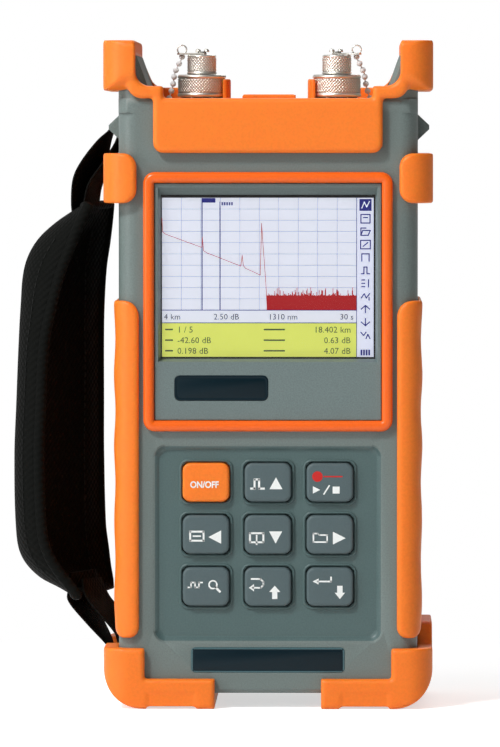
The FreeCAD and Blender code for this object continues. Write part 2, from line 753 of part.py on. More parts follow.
def keypad_mat():
    """A silicone mat that seals the keys' flanges, with a rim that stands on the board."""
    outer = rectangle(mat_w, mat_h, 0, tray_mid_z, 0)
    mat = prism("xz", tray_back_y, tray_back_y + mat_thick, outer)
    inner = rectangle(mat_w - 2 * mat_rim, mat_h - 2 * mat_rim, 0, tray_mid_z, 0)
    mat = mat.fuse(framed(outer, inner, tray_back_y, key_board_y))
    room = key_flange + key_gap
    holes = [prism("xz", tray_back_y - 1, tray_back_y + mat_thick + 1,
                   rectangle(key_w + 2 * room, key_h + 2 * room, x, z, 0))
             for _, _, x, z in key_places()]
    return mat.cut(holes)


key_names = (("key_power", "key_up", "key_run"), ("key_left", "key_down", "key_right"),
             ("key_shift", "key_back", "key_enter"))
for row, column, x, z in key_places():
    nodes[key_names[row][column]] = key(x, z)
nodes["keypad_mat"] = keypad_mat()
nodes["key_switches"] = Part.makeCompound(
    [post(switch_w, x, z, switch_y, key_board_y) for _, _, x, z in key_places()])
nodes["keypad_board"] = prism("xz", key_board_y, key_board_y + board_thick,
                              rectangle(mat_w, mat_h, 0, tray_mid_z, 0))


# ---------------------------------------------------------------- rubber
side_out = half_width + side_rubber
mid_y = (front_y + back_y) / 2


def rubber(corners, proud_face, proud_side):
    """Rubber around the case with the given front view, open where the case is."""
    low, high = front_y - proud_face, back_y + proud_face
    sleeve = bevelled(prism("xz", low, high, corners), rubber_bevel, ("y", low))
    plan = rectangle(2 * (half_width + proud_side), high - low, 0, mid_y, edge_r + proud_side / 2)
    return sleeve.common(prism("xy", -1, horn_z + 1, plan)).cut(case)


def apron_corners(slant, rim_end):
    """Front view of an apron and its rims, which run from rim_end into the horns."""
    top, rise, foot = deck_z + rim_high, deck_z + apron_rise, deck_z + rim_low
    half = [(apron_half, apron_low_z, ring_corner_r), (apron_half, foot, 0),
            (rim_foot, foot, rim_bend_r), (rim_foot, ear_z, 0), (horn_inner, ear_z, 0),
            (horn_inner - slant, top, rim_bend_r), (rim_end, top, 0), (rim_end, rise, 0)]
    left = [(-x, z, r) for x, z, r in reversed(half)]
    return half + left


def guard(x):
    """A C-shaped wall on the inner and rear side of a port."""
    inside = lock_nut_r + guard_gap
    low, high = deck_z, deck_z + deck_pad + guard_high
    wall_ring = ring(inside + guard_thick, inside, V(x, port_y, low), V(x, port_y, high))
    reach = inside + guard_thick + 1
    toward_middle = -1 if x > 0 else 1
    start, end = port_y - guard_wrap, port_y + reach
    keep = prism("xy", low, high, [(x, start, 0), (x, end, 0), (x + toward_middle * reach, end, 0),
                                   (x + toward_middle * reach, start, 0)])
    return wall_ring.common(keep)


def top_bumper():
    face = front_y - face_rubber
    front = prism("xz", face, front_y + apron_over, apron_corners(0, half_width - rim_in))
    front = bevelled(front, rubber_bevel, ("y", face))
    rear = prism("xz", back_y - apron_over, back_y + face_rubber,
                 apron_corners(rear_slant, half_width - rear_rim_in))
    pieces = [front, rear]
    low_y, high_y = face - horn_bulge, back_y + face_rubber + horn_bulge
    side_view = [(low_y, horn_low_z, horn_low_r), (high_y, horn_low_z, horn_low_r),
                 (high_y, horn_z, horn_high_r), (low_y, horn_z, horn_high_r)]
    plan = rectangle(2 * side_out, high_y - low_y, 0, mid_y, edge_r + side_rubber / 2)
    horn = prism("yz", horn_inner, side_out, side_view)
    horn = horn.common(prism("xy", 0, horn_z + 1, plan))
    pieces += [horn, mirrored(horn)]
    pad = block(-half_width + ear_thick, half_width - ear_thick, front_y + 1, back_y - 1,
                deck_z, deck_z + deck_pad)
    pieces.append(pad)
    pieces += [guard(-port_x), guard(port_x)]
    bumper = joined(*pieces)
    half = adapter_flange_half + deck_hole_gap
    holes = [prism("xy", deck_z - 1, deck_z + deck_pad + 1,
                   cut_rectangle(2 * half, 2 * half, x, port_y, half / 2))
             for x in (-port_x, port_x)]
    opening = rectangle(flap_opening_w, flap_opening_long, 0, port_y, 0)
    holes.append(prism("xy", deck_z - 1, deck_z + deck_pad + 1, opening))
    return bumper.cut([case] + holes)


def side_clip():
    corners = [(clip_inner, clip_low_z, clip_r), (side_out, clip_low_z, 0),
               (side_out, clip_high_z, 0), (clip_inner, clip_high_z, clip_r)]
    return rubber(corners, face_rubber, side_rubber)


def side_grip():
    """A long grip with scallops along its outer side."""
    side = half_width + grip_side
    corners = [(grip_inner, grip_low_z, grip_low_r), (side, grip_low_z, grip_low_r),
               (side, grip_high_z, 0), (grip_inner, grip_high_z, grip_high_r)]
    grip = rubber(corners, grip_face, grip_side)
    x = side + scallop_r - scallop_depth
    middle = (grip_low_z + grip_high_z) / 2
    heights = [middle + (i - (scallop_count - 1) / 2) * scallop_pitch for i in range(scallop_count)]
    low, high = front_y + scallop_end, back_y - scallop_end
    scallops = [rod(scallop_r, V(x, low, z), V(x, high, z)) for z in heights]
    step = block(half_width - 1, x, tongue_front_y - lug_room, back_y + face_rubber + 1,
                 grip_low_z - 1, lug_cover_z + lug_room)
    step = step.cut(block(0, half_width, back_y, back_y + face_rubber + 2, 0, horn_z))
    return grip.cut(scallops + [step])


ear_half = lug_gap / 2 + lug_cheek + lug_room
tongue_front_y, tongue_back_y = lug_y - ear_half - tongue_front, lug_y + ear_half + tongue_back


def corner_bumper(covers_lug):
    """An L-shaped foot; it either covers the lower lug's side or leaves it open for the strap."""
    corners = [(arm_end, 0, 0), (side_out, 0, corner_outer_r), (side_out, corner_high_z, 0),
               (corner_inner, corner_high_z, 0), (corner_inner, arm_high_z, 0),
               (arm_end, arm_high_z, 0)]
    foot = rubber(corners, face_rubber, side_rubber)
    notch = rectangle(foot_notch_w, 2 * foot_lift,
                      corner_inner - foot_notch_in - foot_notch_w / 2, 0, 0)
    foot = foot.cut(prism("xz", front_y - 2 * face_rubber, back_y + 2 * face_rubber, notch))
    recess = rectangle(foot_notch_w, 2 * foot_recess_high,
                       corner_inner - foot_notch_in - foot_notch_w / 2, 0, 0)
    face = front_y - face_rubber
    foot = foot.cut(prism("xz", face - 1, face + foot_recess, recess))
    if covers_lug:
        foot_z = corner_high_z - rubber_bevel
        tongue = prism("yz", half_width, side_out, [
            (tongue_front_y, foot_z, 0), (tongue_back_y, foot_z, 0),
            (tongue_back_y - tongue_taper, lug_cover_z, tongue_back_r),
            (tongue_front_y + tongue_front, lug_cover_z, tongue_front_r)])
        foot = joined(foot, tongue).cut(case)
        low, high = lug_low_z - lug_height / 2 - lug_room, lug_low_z + lug_height / 2 + lug_room
        reach = half_width + lug_reach + lug_room
        return foot.cut(block(half_width - 1, reach, lug_y - ear_half, lug_y + ear_half, low, high))
    low = lug_low_z - lug_height / 2 - lug_room
    return foot.cut(block(half_width - 1, side_out + 1, lug_y - ear_half, lug_y + ear_half,
                          low, corner_high_z + 1))


nodes["top_bumper"] = top_bumper()
nodes["side_clip_right"] = side_clip()
nodes["side_clip_left"] = mirrored(side_clip())
nodes["side_grip_right"] = side_grip()
nodes["side_grip_left"] = mirrored(side_grip())
nodes["corner_bumper_right"] = corner_bumper(True)
nodes["corner_bumper_left"] = mirrored(corner_bumper(False))


# ---------------------------------------------------------------- ports
deck_top = deck_z + deck_pad
adapter_top_z = deck_z + adapter_flange
thread_top_z = adapter_top_z + thread_long
nut_top_z = adapter_top_z + lock_nut_long
cap_low_z = nut_top_z + cap_gap
cap_high_z = cap_low_z + cap_long
tail_low_z = deck_z - adapter_tail_long


def adapter(x):
    """A threaded bulkhead adapter: tail, square flange and a nose bored for a ferrule."""
    flange = prism("xy", deck_z, adapter_top_z,
                   cut_rectangle(2 * adapter_flange_half, 2 * adapter_flange_half, x, port_y,
                                 adapter_flange_half / 2))
    tail = prism("xy", tail_low_z, deck_z, ngon(hidden_sides, adapter_tail_r, x, port_y))
    nose = rod(thread_r, V(x, port_y, adapter_top_z), V(x, port_y, thread_top_z))
    bore = rod(ferrule_bore_r, V(x, port_y, thread_top_z - ferrule_bore_long),
               V(x, port_y, thread_top_z))
    return joined(flange, tail, nose).cut(bore)


def lock_nut(x):
    """The large knurled ring that locks the adapter down."""
    return ring(lock_nut_r, thread_r + nut_clearance, V(x, port_y, adapter_top_z),
                V(x, port_y, nut_top_z))


def dust_cap(x):
    """A screw cap over the adapter's nose."""
    bottom, top, roof = V(x, port_y, cap_low_z), V(x, port_y, cap_high_z), cap_high_z - cap_roof
    return rod(cap_r, bottom, top).cut(rod(thread_r + cap_clearance, bottom, V(x, port_y, roof)))


def swivel(x):
    """The strip that turns on the cap's top and carries the chain's eye beside the cap."""
    outward = 1 if x > 0 else -1
    low, high = cap_high_z + rivet_fit, cap_high_z + rivet_fit + swivel_thick
    strip = prism("xy", low, high,
                  cut_rectangle(eye_reach + 2 * swivel_end_r, 2 * swivel_end_r,
                                x + outward * eye_reach / 2, port_y, swivel_end_r / 2))
    head = rod(rivet_head_r, V(x, port_y, high), V(x, port_y, high + rivet_head))
    eye_x = x + outward * eye_reach
    eye = prism("xy", low - 1, high + 1, ngon(6, eye_r, eye_x, port_y))
    return joined(strip, head).cut(eye)


def bead(centre):
    """One bead of the chain: two square frustums base to base."""
    r, end = bead_r * 0.9, bead_r / 2
    half = Part.makeWedge(-r, 0, -r, -end, -end, r, bead_r, r, end, end)
    half.rotate(V(0, 0, 0), V(1, 0, 0), 90)
    whole = joined(half, half.mirror(V(0, 0, 0), V(0, 0, 1)))
    whole.translate(centre)
    return whole


def bead_chain(x):
    """A bead chain from the swivel's eye down past the nut to an anchor on the deck."""
    outward = 1 if x > 0 else -1
    eye_z = cap_high_z + rivet_fit
    centres = [V(x + outward * (eye_reach + across), port_y + back, eye_z + up)
               for across, back, up in bead_drops]
    solids = [bead(centre) for centre in centres[1:]]
    for start, end in zip(centres, centres[1:]):
        corners = rectangle(2 * bead_link_half, 2 * bead_link_half, start.x, start.y, 0)
        solids.append(Part.Face(outline("xy", start.z, corners)).extrude(end - start))
    foot = centres[-1]
    solids.append(block(foot.x - bead_link_half, foot.x + bead_link_half,
                        foot.y - bead_link_half, foot.y + bead_link_half, deck_top, foot.z))
    return joined(*solids)


nodes["port_adapters"] = Part.makeCompound([adapter(-port_x), adapter(port_x)])
nodes["lock_nuts"] = Part.makeCompound([lock_nut(-port_x), lock_nut(port_x)])
nodes["back_nuts"] = Part.makeCompound(
    [prism("xy", deck_z - wall - back_nut_thick, deck_z - wall, ngon(6, back_nut_r, x, port_y))
     .cut(prism("xy", tail_low_z, deck_z, ngon(6, adapter_tail_r / math.cos(math.pi / 6),
                                              x, port_y)))
     for x in (-port_x, port_x)])
for side, x in (("left", -port_x), ("right", port_x)):
    nodes[f"dust_cap_{side}"] = dust_cap(x)
    nodes[f"cap_swivel_{side}"] = swivel(x)
    nodes[f"cap_chain_{side}"] = bead_chain(x)


# ---------------------------------------------------------------- service sockets and their flap
flap_front_y = port_y - flap_long / 2
strip_y = port_y + flap_long / 2 - flap_strip_long
flap_hinge_y = strip_y - flap_gap - flap_hinge_r
flap_low_z = deck_top + flap_gap
flap_hinge_z = flap_low_z + flap_thick - flap_hinge_r
socket_top_z = deck_z - socket_top_drop
socket_low_z = socket_top_z - socket_high
usb_x = -flap_opening_w / 2 + flap_gap + usb_w / 2
jack_x = flap_opening_w / 2 - flap_gap - jack_half


def port_flap():
    """The rubber flap: plate, plug that fills the opening, and the round of its hinge."""
    plate = block(-flap_w / 2, flap_w / 2, flap_front_y, flap_hinge_y, flap_low_z,
                  flap_low_z + flap_thick)
    plate = bevelled(plate, flap_bevel, ("z", flap_low_z + flap_thick))
    round_edge = rod(flap_hinge_r, V(-flap_w / 2, flap_hinge_y, flap_hinge_z),
                     V(flap_w / 2, flap_hinge_y, flap_hinge_z))
    plug = prism("xy", deck_z + flap_gap, flap_low_z,
                 rectangle(flap_opening_w - 2 * flap_gap, flap_opening_long - 2 * flap_gap,
                           0, port_y, 0))
    return joined(plate, round_edge, plug)


def usb_socket():
    shell = block(usb_x - usb_w / 2, usb_x + usb_w / 2, port_y - usb_d / 2, port_y + usb_d / 2,
                  socket_low_z, socket_top_z)
    room_w, room_d = usb_w - 2 * usb_wall, usb_d - 2 * usb_wall
    mouth = block(usb_x - room_w / 2, usb_x + room_w / 2, port_y - room_d / 2,
                  port_y + room_d / 2, socket_low_z + usb_floor, socket_top_z + 1)
    tongue = block(usb_x - room_w / 2 + usb_wall, usb_x + room_w / 2 - usb_wall,
                   port_y - usb_wall, port_y + usb_wall, socket_low_z, socket_top_z - 1)
    return joined(shell.cut(mouth), tongue)


def power_jack():
    """A square-bodied jack with a round bore and its centre pin."""
    body = block(jack_x - jack_half, jack_x + jack_half, port_y - jack_half, port_y + jack_half,
                 socket_low_z, socket_top_z)
    floor = V(jack_x, port_y, socket_low_z + usb_floor)
    top = V(jack_x, port_y, socket_top_z)
    pin = prism("xy", floor.z, top.z - 1, ngon(hidden_sides, jack_pin_r, jack_x, port_y))
    return joined(body.cut(rod(jack_bore_r, floor, top)), pin)


nodes["port_flap"] = port_flap()
nodes["flap_strip"] = block(-flap_w / 2, flap_w / 2, strip_y, strip_y + flap_strip_long,
                            deck_top, deck_top + flap_strip_thick)
nodes["usb_socket"] = usb_socket()
nodes["power_jack"] = power_jack()
nodes["io_board"] = block(-io_board_w / 2, io_board_w / 2, port_y - io_board_d / 2,
                          port_y + io_board_d / 2, socket_low_z - io_board_thick, socket_low_z)


# ---------------------------------------------------------------- electronics
def fault_laser():
    """The visible-light laser's barrel under the right port, in its clamp."""
    low_z = tail_low_z - laser_long
    foot = block(port_x - clamp_w / 2, port_x + clamp_w / 2, board_back_y, port_y,
                 low_z + clamp_h / 2, low_z + 1.5 * clamp_h)
    barrel = prism("xy", low_z, tail_low_z, ngon(hidden_sides, laser_r, port_x, port_y))
    return joined(foot, barrel)


def measuring_module():
    """The shielded module that sends and reads the pulses, with its lid's rim."""
    x0, x1 = module_x - module_w / 2, module_x + module_w / 2
    can = block(x0, x1, board_back_y, board_back_y + module_d, module_low, module_low + module_h)
    rim_y = board_back_y + module_d - module_rim
    rim = block(x0 - module_rim / 2, x1 + module_rim / 2, rim_y, rim_y + module_rim / 2,
                module_low - module_rim / 2, module_low + module_h)
    return joined(can, rim)


key_board_back_y = key_board_y + board_thick
nodes["main_board"] = block(-main_board_half, main_board_half, main_board_y, board_back_y,
                            main_board_low, main_board_high)
nodes["board_spacers"] = Part.makeCompound(
    [post(spacer_w, x, z, key_board_back_y, main_board_y)
     for x in (-spacer_x, spacer_x) for z in spacer_heights])
nodes["measuring_module"] = measuring_module()
nodes["fibre_pigtail"] = prism("xy", module_low + module_h, tail_low_z,
                               ngon(hidden_sides, pigtail_r, -port_x, port_y))
nodes["fault_laser"] = fault_laser()
nodes["buzzer"] = post(buzzer_w, buzzer_x, buzzer_z, board_back_y, board_back_y + buzzer_thick)


# ---------------------------------------------------------------- battery
pack_half = cell_long / 2
pack_mid_y = battery_front_y + cell_r
pack_mid_z = (battery_low_z + battery_high_z) / 2
door_in_half = door_half - door_gap
door_h = door_high_z - door_low_z
screw_points = [(x, door_screw_z) for x in (-door_screw_x, door_screw_x)]
nodes["battery_pack"] = prism("yz", -pack_half, pack_half,
                              cut_rectangle(2 * cell_r, 2 * cell_r * cell_count, pack_mid_y,
                                            pack_mid_z, pack_corner))
nodes["battery_contacts"] = Part.makeCompound(
    [block(pack_half, pocket_half, pack_mid_y - contact_w / 2, pack_mid_y + contact_w / 2,
           z - contact_w / 2, z + contact_w / 2)
     for z in (pack_mid_z - 2 * cell_r, pack_mid_z + 2 * cell_r)])


def battery_door():
    """The door: a flush plate with two stiffening ribs and sunk screw seats."""
    outer = cut_rectangle(2 * door_in_half, door_h - 2 * door_gap, 0,
                          (door_high_z + door_low_z) / 2, door_corner)
    door = prism("xz", door_back_y, back_y, outer)
    rib_reach = door_back_y - door_rib
    ribs = [block(x - door_rib / 2, x + door_rib / 2, rib_reach, door_back_y,
                  battery_low_z, battery_high_z) for x in (-pack_half / 2, pack_half / 2)]
    seats = []
    for x, z in screw_points:
        seats.append(rod(door_screw_r + screw_gap, V(x, door_back_y - 1, z), V(x, back_y + 1, z)))
        seats.append(rod(door_screw_head_r + screw_gap, V(x, back_y - door_screw_head, z),
                         V(x, back_y + 1, z)))
    return joined(door, *ribs).cut(seats)


def screw(head_y, head_thick, head_r, shank, long, x, z):
    """A screw blank along Y whose head's underside is at head_y, on a shank of the given outline."""
    head = prism("xz", head_y, head_y + head_thick, ngon(6, head_r, x, z))
    return joined(head, prism("xz", head_y - long, head_y, shank))


nodes["battery_door"] = battery_door()
door_seat_y = back_y - door_screw_head
door_shank = door_seat_y - door_back_y + door_screw_long
nodes["door_screws"] = Part.makeCompound(
    [screw(door_seat_y, door_screw_head, door_screw_head_r,
           ngon(shank_sides, door_screw_r, x, z), door_shank, x, z)
     for x, z in screw_points])
nodes["case_screws"] = Part.makeCompound(
    [screw(screw_seat_y, screw_head, screw_head_r, core_corners(x, z), screw_long, x, z)
     for x, z in screw_places()])


# ---------------------------------------------------------------- stand
def stand():
    """The folding stand: a panel with hollows on its inner face, on a bored hinge barrel."""
    back = stand_front_y + stand_thick
    panel = prism("xz", stand_front_y, back, stand_corners(0))
    web_half = stand_half - 2 * stand_corner
    web = block(-web_half, web_half, stand_front_y, hinge_y + hinge_r / 2,
                stand_high_z - 1, hinge_z)
    barrel = rod(hinge_r, V(-stand_half, hinge_y, hinge_z), V(stand_half, hinge_y, hinge_z))
    hollow_h = (stand_high_z - stand_low_z - (stand_rows + 1) * stand_rib) / stand_rows
    hollows = []
    for row in range(stand_rows):
        low = stand_low_z + stand_rib + row * (hollow_h + stand_rib)
        for x0, x1 in ((-stand_half + stand_rib, -stand_rib / 2),
                       (stand_rib / 2, stand_half - stand_rib)):
            hollows.append(block(x0, x1, stand_front_y - 1, stand_front_y + stand_hollow,
                                 low, low + hollow_h))
    pin = rod(hinge_pin_r + hinge_fit, V(-stand_half - 1, hinge_y, hinge_z),
              V(stand_half + 1, hinge_y, hinge_z))
    return joined(panel, web, barrel).cut(hollows + [pin])


nodes["stand"] = stand()
pin_half = stand_half + stand_gap
nodes["stand_pin"] = rod(hinge_pin_r, V(-pin_half, hinge_y, hinge_z), V(pin_half, hinge_y, hinge_z))


# ---------------------------------------------------------------- hand strap
pad_front = V(-half_width - pad_front_out, pad_front_y, 0)
pad_middle = V(-half_width - pad_middle_out, pad_middle_y, 0)
pad_rear = V(-half_width - pad_rear_out, pad_rear_y, 0)
pad_curve = Part.Arc(pad_front, pad_middle, pad_rear).toShape().Curve
pad_axis, pad_r = pad_curve.Center, pad_curve.Radius
pad_out_x = pad_axis.x - pad_r              # middle of the pad's thickness where it is furthest out
tail_x = pad_out_x + pad_draw_in


def pad_outline(z, drawn_in, thick):
    """The pad's plan at one height, laid out in equal chords of its arc."""
    first, last = pad_front - pad_axis, pad_rear - pad_axis
    start = math.atan2(first.y, first.x)
    sweep = (math.atan2(last.y, last.x) - start) % (-2 * math.pi)
    turns = [start + sweep * i / pad_chords for i in range(pad_chords + 1)]
    rims = []
    for radius in (pad_r - drawn_in + thick / 2, pad_r - drawn_in - thick / 2):
        rims.append([(pad_axis.x + radius * math.cos(a), pad_axis.y + radius * math.sin(a), 0)
                     for a in turns])
    return outline("xy", z, rims[0] + rims[1][::-1])


def strap_pad():
    """The padded panel, bowed round an upright axis, with its two ends drawn in to the case."""
    return tapered([pad_outline(pad_low_z, pad_draw_in, pad_tip),
                    pad_outline(pad_low_z + pad_bend_h, 0, pad_thick),
                    pad_outline(pad_high_z - pad_bend_h, 0, pad_thick),
                    pad_outline(pad_high_z, pad_draw_in, pad_tip)])


def webbing_loop(z, towards_strap, outer_run, inner_run, tail_z):
    """Webbing from the pad's end at tail_z, round a lug's bar and back to the pad."""
    bar_x, bar_z = -half_width - strap_bar_out, z + towards_strap * strap_bar_shift
    reach = strap_bar_r + strap_fit + webbing_thick
    over = bar_z - towards_strap * reach
    runs = [[(-half_width - out, z + up) for out, up in run] for run in (outer_run, inner_run)]
    way = ([(tail_x - tail_out, tail_z)] + runs[0] + [(bar_x - reach, over), (bar_x + reach, over)]
           + runs[1] + [(tail_x + tail_in, tail_z)])
    low, high = lug_y - webbing_w / 2, lug_y + webbing_w / 2
    outer = outline("xz", low, [(x, up, 0) for x, up in way])
    inner = outer.makeOffset2D(-webbing_thick)
    band = Part.Face(outer).cut(Part.Face(inner))
    return band.extrude(V(0, high - low, 0))


nodes["strap_pad"] = strap_pad()
upper = webbing_loop(lug_high_z, -1, upper_outer, upper_inner, pad_high_z - pad_thick / 2)
lower = webbing_loop(lug_low_z, 1, lower_outer, lower_inner, pad_low_z + pad_thick / 2)
nodes["strap_webbing"] = Part.makeCompound([piece.cut(nodes["strap_pad"])
                                            for piece in (upper, lower)])

for name, shape in nodes.items():
    shape.exportStep(f"parts/{name}.step")
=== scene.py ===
import math
import random

import bmesh
import bpy
from mathutils import Matrix, Vector
from mathutils.bvhtree import BVHTree


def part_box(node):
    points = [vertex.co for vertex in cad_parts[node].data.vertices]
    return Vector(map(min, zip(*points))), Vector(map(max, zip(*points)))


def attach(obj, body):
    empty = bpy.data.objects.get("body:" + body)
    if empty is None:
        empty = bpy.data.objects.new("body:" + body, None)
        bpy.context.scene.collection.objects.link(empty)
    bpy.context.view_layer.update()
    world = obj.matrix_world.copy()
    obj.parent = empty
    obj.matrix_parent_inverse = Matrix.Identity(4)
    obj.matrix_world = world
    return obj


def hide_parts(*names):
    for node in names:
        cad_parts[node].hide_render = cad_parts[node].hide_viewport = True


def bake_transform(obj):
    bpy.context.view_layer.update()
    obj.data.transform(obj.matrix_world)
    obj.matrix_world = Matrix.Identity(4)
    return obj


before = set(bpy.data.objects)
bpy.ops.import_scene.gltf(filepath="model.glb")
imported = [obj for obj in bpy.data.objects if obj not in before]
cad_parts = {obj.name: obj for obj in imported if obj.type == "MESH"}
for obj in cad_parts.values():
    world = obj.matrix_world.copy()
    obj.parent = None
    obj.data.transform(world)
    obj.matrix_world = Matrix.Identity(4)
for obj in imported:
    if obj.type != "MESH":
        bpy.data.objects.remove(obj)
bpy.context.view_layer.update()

scene = bpy.context.scene
scene.view_settings.view_transform = "Standard"
mm = 0.001


# ---------------- viewpoint
# The instrument is met nearly square-on, from two metres off, a touch to the right of its middle
# and a touch above it, with a long lens.
def placed(name, data):
    """A new object in the scene."""
    thing = bpy.data.objects.new(name, data)
    scene.collection.objects.link(thing)
    return thing


eye = bpy.data.cameras.new("viewpoint")
eye.sensor_width, eye.lens = 36.0, 293.0
eye.clip_start, eye.clip_end = 0.1, 50.0
camera = placed("viewpoint", eye)
aim = Vector((-5.9, -31.0, 110.5)) * mm
turn, rise, distance = math.radians(1.0), math.radians(2.2), 2.0
away = Vector((math.sin(turn) * math.cos(rise), -math.cos(turn) * math.cos(rise), math.sin(rise)))
camera.location = aim + away * distance
camera.rotation_euler = (-away).to_track_quat("-Z", "Y").to_euler()
scene.camera = camera


# ---------------- studio
# A white sweep and four soft lamps: the key up to the left, weaker ones low on the left and on the
# right, and one behind. The world is white to the eye; as a source of light it is dimmer, and
# darkest to the right.
def chip(red, green, blue):
    """A scene colour from a colour chip's 0-255 values."""
    return tuple((c / 255 / 12.92) if c <= 10 else ((c / 255 + 0.055) / 1.055) ** 2.4
                 for c in (red, green, blue)) + (1.0,)


def adder(tree, bare=False):
    """A function that adds a node to the tree, or fills one that is there already. The inputs come
    in order or by name: values, sockets, or nodes for their first outputs."""
    if bare:
        tree.nodes.clear()

    def add(node, inputs=(), **settings):
        if node == "Principled BSDF":           # a new material has this one
            node = tree.nodes[node]
        elif isinstance(node, str):
            node = tree.nodes.new(node if "Node" in node else "ShaderNode" + node)
        for name, value in settings.items():
            setattr(node, name, value)
        for socket, source in inputs.items() if isinstance(inputs, dict) else enumerate(inputs):
            source = source.outputs[0] if isinstance(source, bpy.types.Node) else source
            if isinstance(source, bpy.types.NodeSocket):
                tree.links.new(source, node.inputs[socket])
            else:
                node.inputs[socket].default_value = source
        return node
    return add


def new_material(name, bare=False):
    """A new material and the function that adds nodes to it."""
    material = bpy.data.materials.new(name)
    material.use_nodes = True
    return material, adder(material.node_tree, bare)


world = bpy.data.worlds.new("white_studio")
scene.world = world
world.use_nodes = True
add = adder(world.node_tree, bare=True)
sight = add("LightPath").outputs
seen = add("Math", (sight["Is Camera Ray"], sight["Is Transmission Ray"]), operation="MAXIMUM")
towards = add("SeparateXYZ", (add("TexCoord").outputs["Generated"],))
dimmed = add("MapRange", (towards, -0.6, 0.6, 0.55, 0.05))
fill = add("Background", ((1, 1, 1, 1), dimmed))
white = add("Background", ((1, 1, 1, 1), 1.0))
add("OutputWorld", (add("MixShader", (seen, fill, white)),))

for name, place, size, watts in (("key_softbox", (-1.0, -1.2, 1.6), 0.35, 33.0),
                                 ("left_softbox", (-1.2, -0.7, 0.4), 0.3, 3.5),
                                 ("side_softbox", (1.3, -0.9, 0.7), 0.7, 0.6),
                                 ("back_softbox", (0.3, 1.4, 1.2), 0.9, 7.0)):
    lamp = bpy.data.lights.new(name, "AREA")
    lamp.shape, lamp.size, lamp.energy = "SQUARE", size, watts
    holder = placed(name, lamp)
    holder.location = place
    aimed = Vector((0, 0, 0.11)) - Vector(place)
    holder.rotation_euler = aimed.to_track_quat("-Z", "Y").to_euler()

# The floor is paper that takes a soft shadow near the instrument and is plain white further off.
sweep, add = new_material("white_sweep", bare=True)
sight = add("LightPath").outputs
either = add("Math", (sight["Is Camera Ray"], sight["Is Glossy Ray"]), operation="MAXIMUM")
paper = add("BsdfDiffuse", ((0.86, 0.86, 0.86, 1),))
near_paper = add("AddShader", (paper, add("Emission", {"Strength": 0.6})))
far_away = add("VectorMath", (add("TexCoord").outputs["Object"],), operation="LENGTH")
fade = add("MapRange", (far_away.outputs["Value"], 0.07, 0.26), interpolation_type="SMOOTHSTEP")
far_paper = add("MixShader", (fade, near_paper, add("Emission", {"Strength": 1.0})))
add("OutputMaterial", (add("MixShader", (either, paper, far_paper)),))


def drawn(name, points, edges, faces, *finishes):
    """A new mesh with its finishes."""
    mesh = bpy.data.meshes.new(name)
    mesh.from_pydata(points, edges, faces)
    for finish in finishes:
        mesh.materials.append(finish)
    return mesh


corners = [(-6, -3, 0), (6, -3, 0), (6, 6, 0), (-6, 6, 0)]
floor = placed("ground", drawn("ground", corners, [], [(0, 1, 2, 3)], sweep))


# ---------------- grey case
# Two moulded shells in a grey-green plastic with a fine spark texture, and the stand and battery
# door of the same plastic. Their edges are broken by the mould and get a painted highlight that
# makes them a little paler.
def shade(colour, factor, lift=0.0):
    """The colour made darker or paler."""
    return tuple(min(1, c * factor + lift) for c in colour[:3]) + (1,)


def moulded(name, colour, roughness, grain=0.35, depth=0.03, mottle=0.05, gloss=0.5, edge=0.0,
            edge_highlight=0.25):
    """A moulded plastic or rubber: cloudy colour and gloss, a fine raised grain and, given edge,
    soft edges with a painted highlight.
    """
    material, add = new_material(name)
    place = add("TexCoord").outputs["Object"]
    cloud = add("TexNoise", {"Vector": place, "Scale": 45.0, "Detail": 4.0})
    tone = add("Mix", {0: cloud, 6: shade(colour, 1 - mottle), 7: shade(colour, 1 + mottle)},
               data_type="RGBA")
    pits = add("TexNoise", {"Vector": place, "Scale": 1 / (grain * mm), "Detail": 2.0})
    speck = add("MapRange", (pits, 0.3, 0.7, 1 - 2 * mottle, 1 + 2 * mottle))
    base = add("VectorMath", {0: tone.outputs[2], "Scale": speck}, operation="SCALE").outputs[0]
    rough = add("MapRange", (cloud, 0.0, 1.0, roughness - 0.05, roughness + 0.05))
    raised = add("Bump", {"Strength": 0.6, "Distance": depth * mm, "Height": pits})
    # painted highlight: where the bevelled normal turns away from the face, the colour is mixed
    # towards a paler one
    if edge:
        soft = add("Bevel", {"Radius": edge * mm}, samples=4)
        flat = add("NewGeometry").outputs["Normal"]
        turned = add("VectorMath", (soft, flat), operation="DOT_PRODUCT").outputs["Value"]
        highlight_mask = add("MapRange", (turned, 0.98, 0.8, 0.0, edge_highlight))
        base = add("Mix", {0: highlight_mask, 6: base, 7: shade(colour, 1.6, 0.05)},
                   data_type="RGBA").outputs[2]
        add(raised, {"Normal": soft})
    add("Principled BSDF", {"Base Color": base, "Roughness": rough, "Normal": raised,
                            "Specular IOR Level": gloss})
    return material


def closed_copy(node, material, keen=28):
    """The CAD node's form with its seams closed, smooth except at edges over keen degrees."""
    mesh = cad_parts[node].data.copy()
    mesh.materials.clear()
    mesh.materials.append(material)
    shape = bmesh.new()
    shape.from_mesh(mesh)
    bmesh.ops.remove_doubles(shape, verts=shape.verts, dist=1e-6)
    for face in shape.faces:
        face.smooth = True
        face.material_index = 0
    shape.to_mesh(mesh)
    shape.free()
    mesh.set_sharp_from_angle(angle=math.radians(keen))
    return mesh


def fitted(name, mesh, body, slot, *nodes):
    """A finished piece on its body, standing for its CAD nodes."""
    piece = placed(name, mesh)
    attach(piece, body)
    if nodes:
        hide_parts(*nodes)
    return piece


def plain_mesh(rough, name):
    """The object's shape as its modifiers leave it; the object itself is dropped."""
    bpy.context.view_layer.update()
    made = rough.evaluated_get(bpy.context.evaluated_depsgraph_get())
    mesh = bpy.data.meshes.new_from_object(made)
    mesh.name = name
    bpy.data.objects.remove(rough)
    return mesh


def pressed(node, material, keen=16):
    """A copy whose large faces stay flat to the eye beside their rounded edges."""
    rough = placed(node + "_blank", closed_copy(node, material, keen))
    even = rough.modifiers.new("even", "WEIGHTED_NORMAL")
    even.weight, even.keep_sharp = 100, True
    return plain_mesh(rough, node + "_moulding")
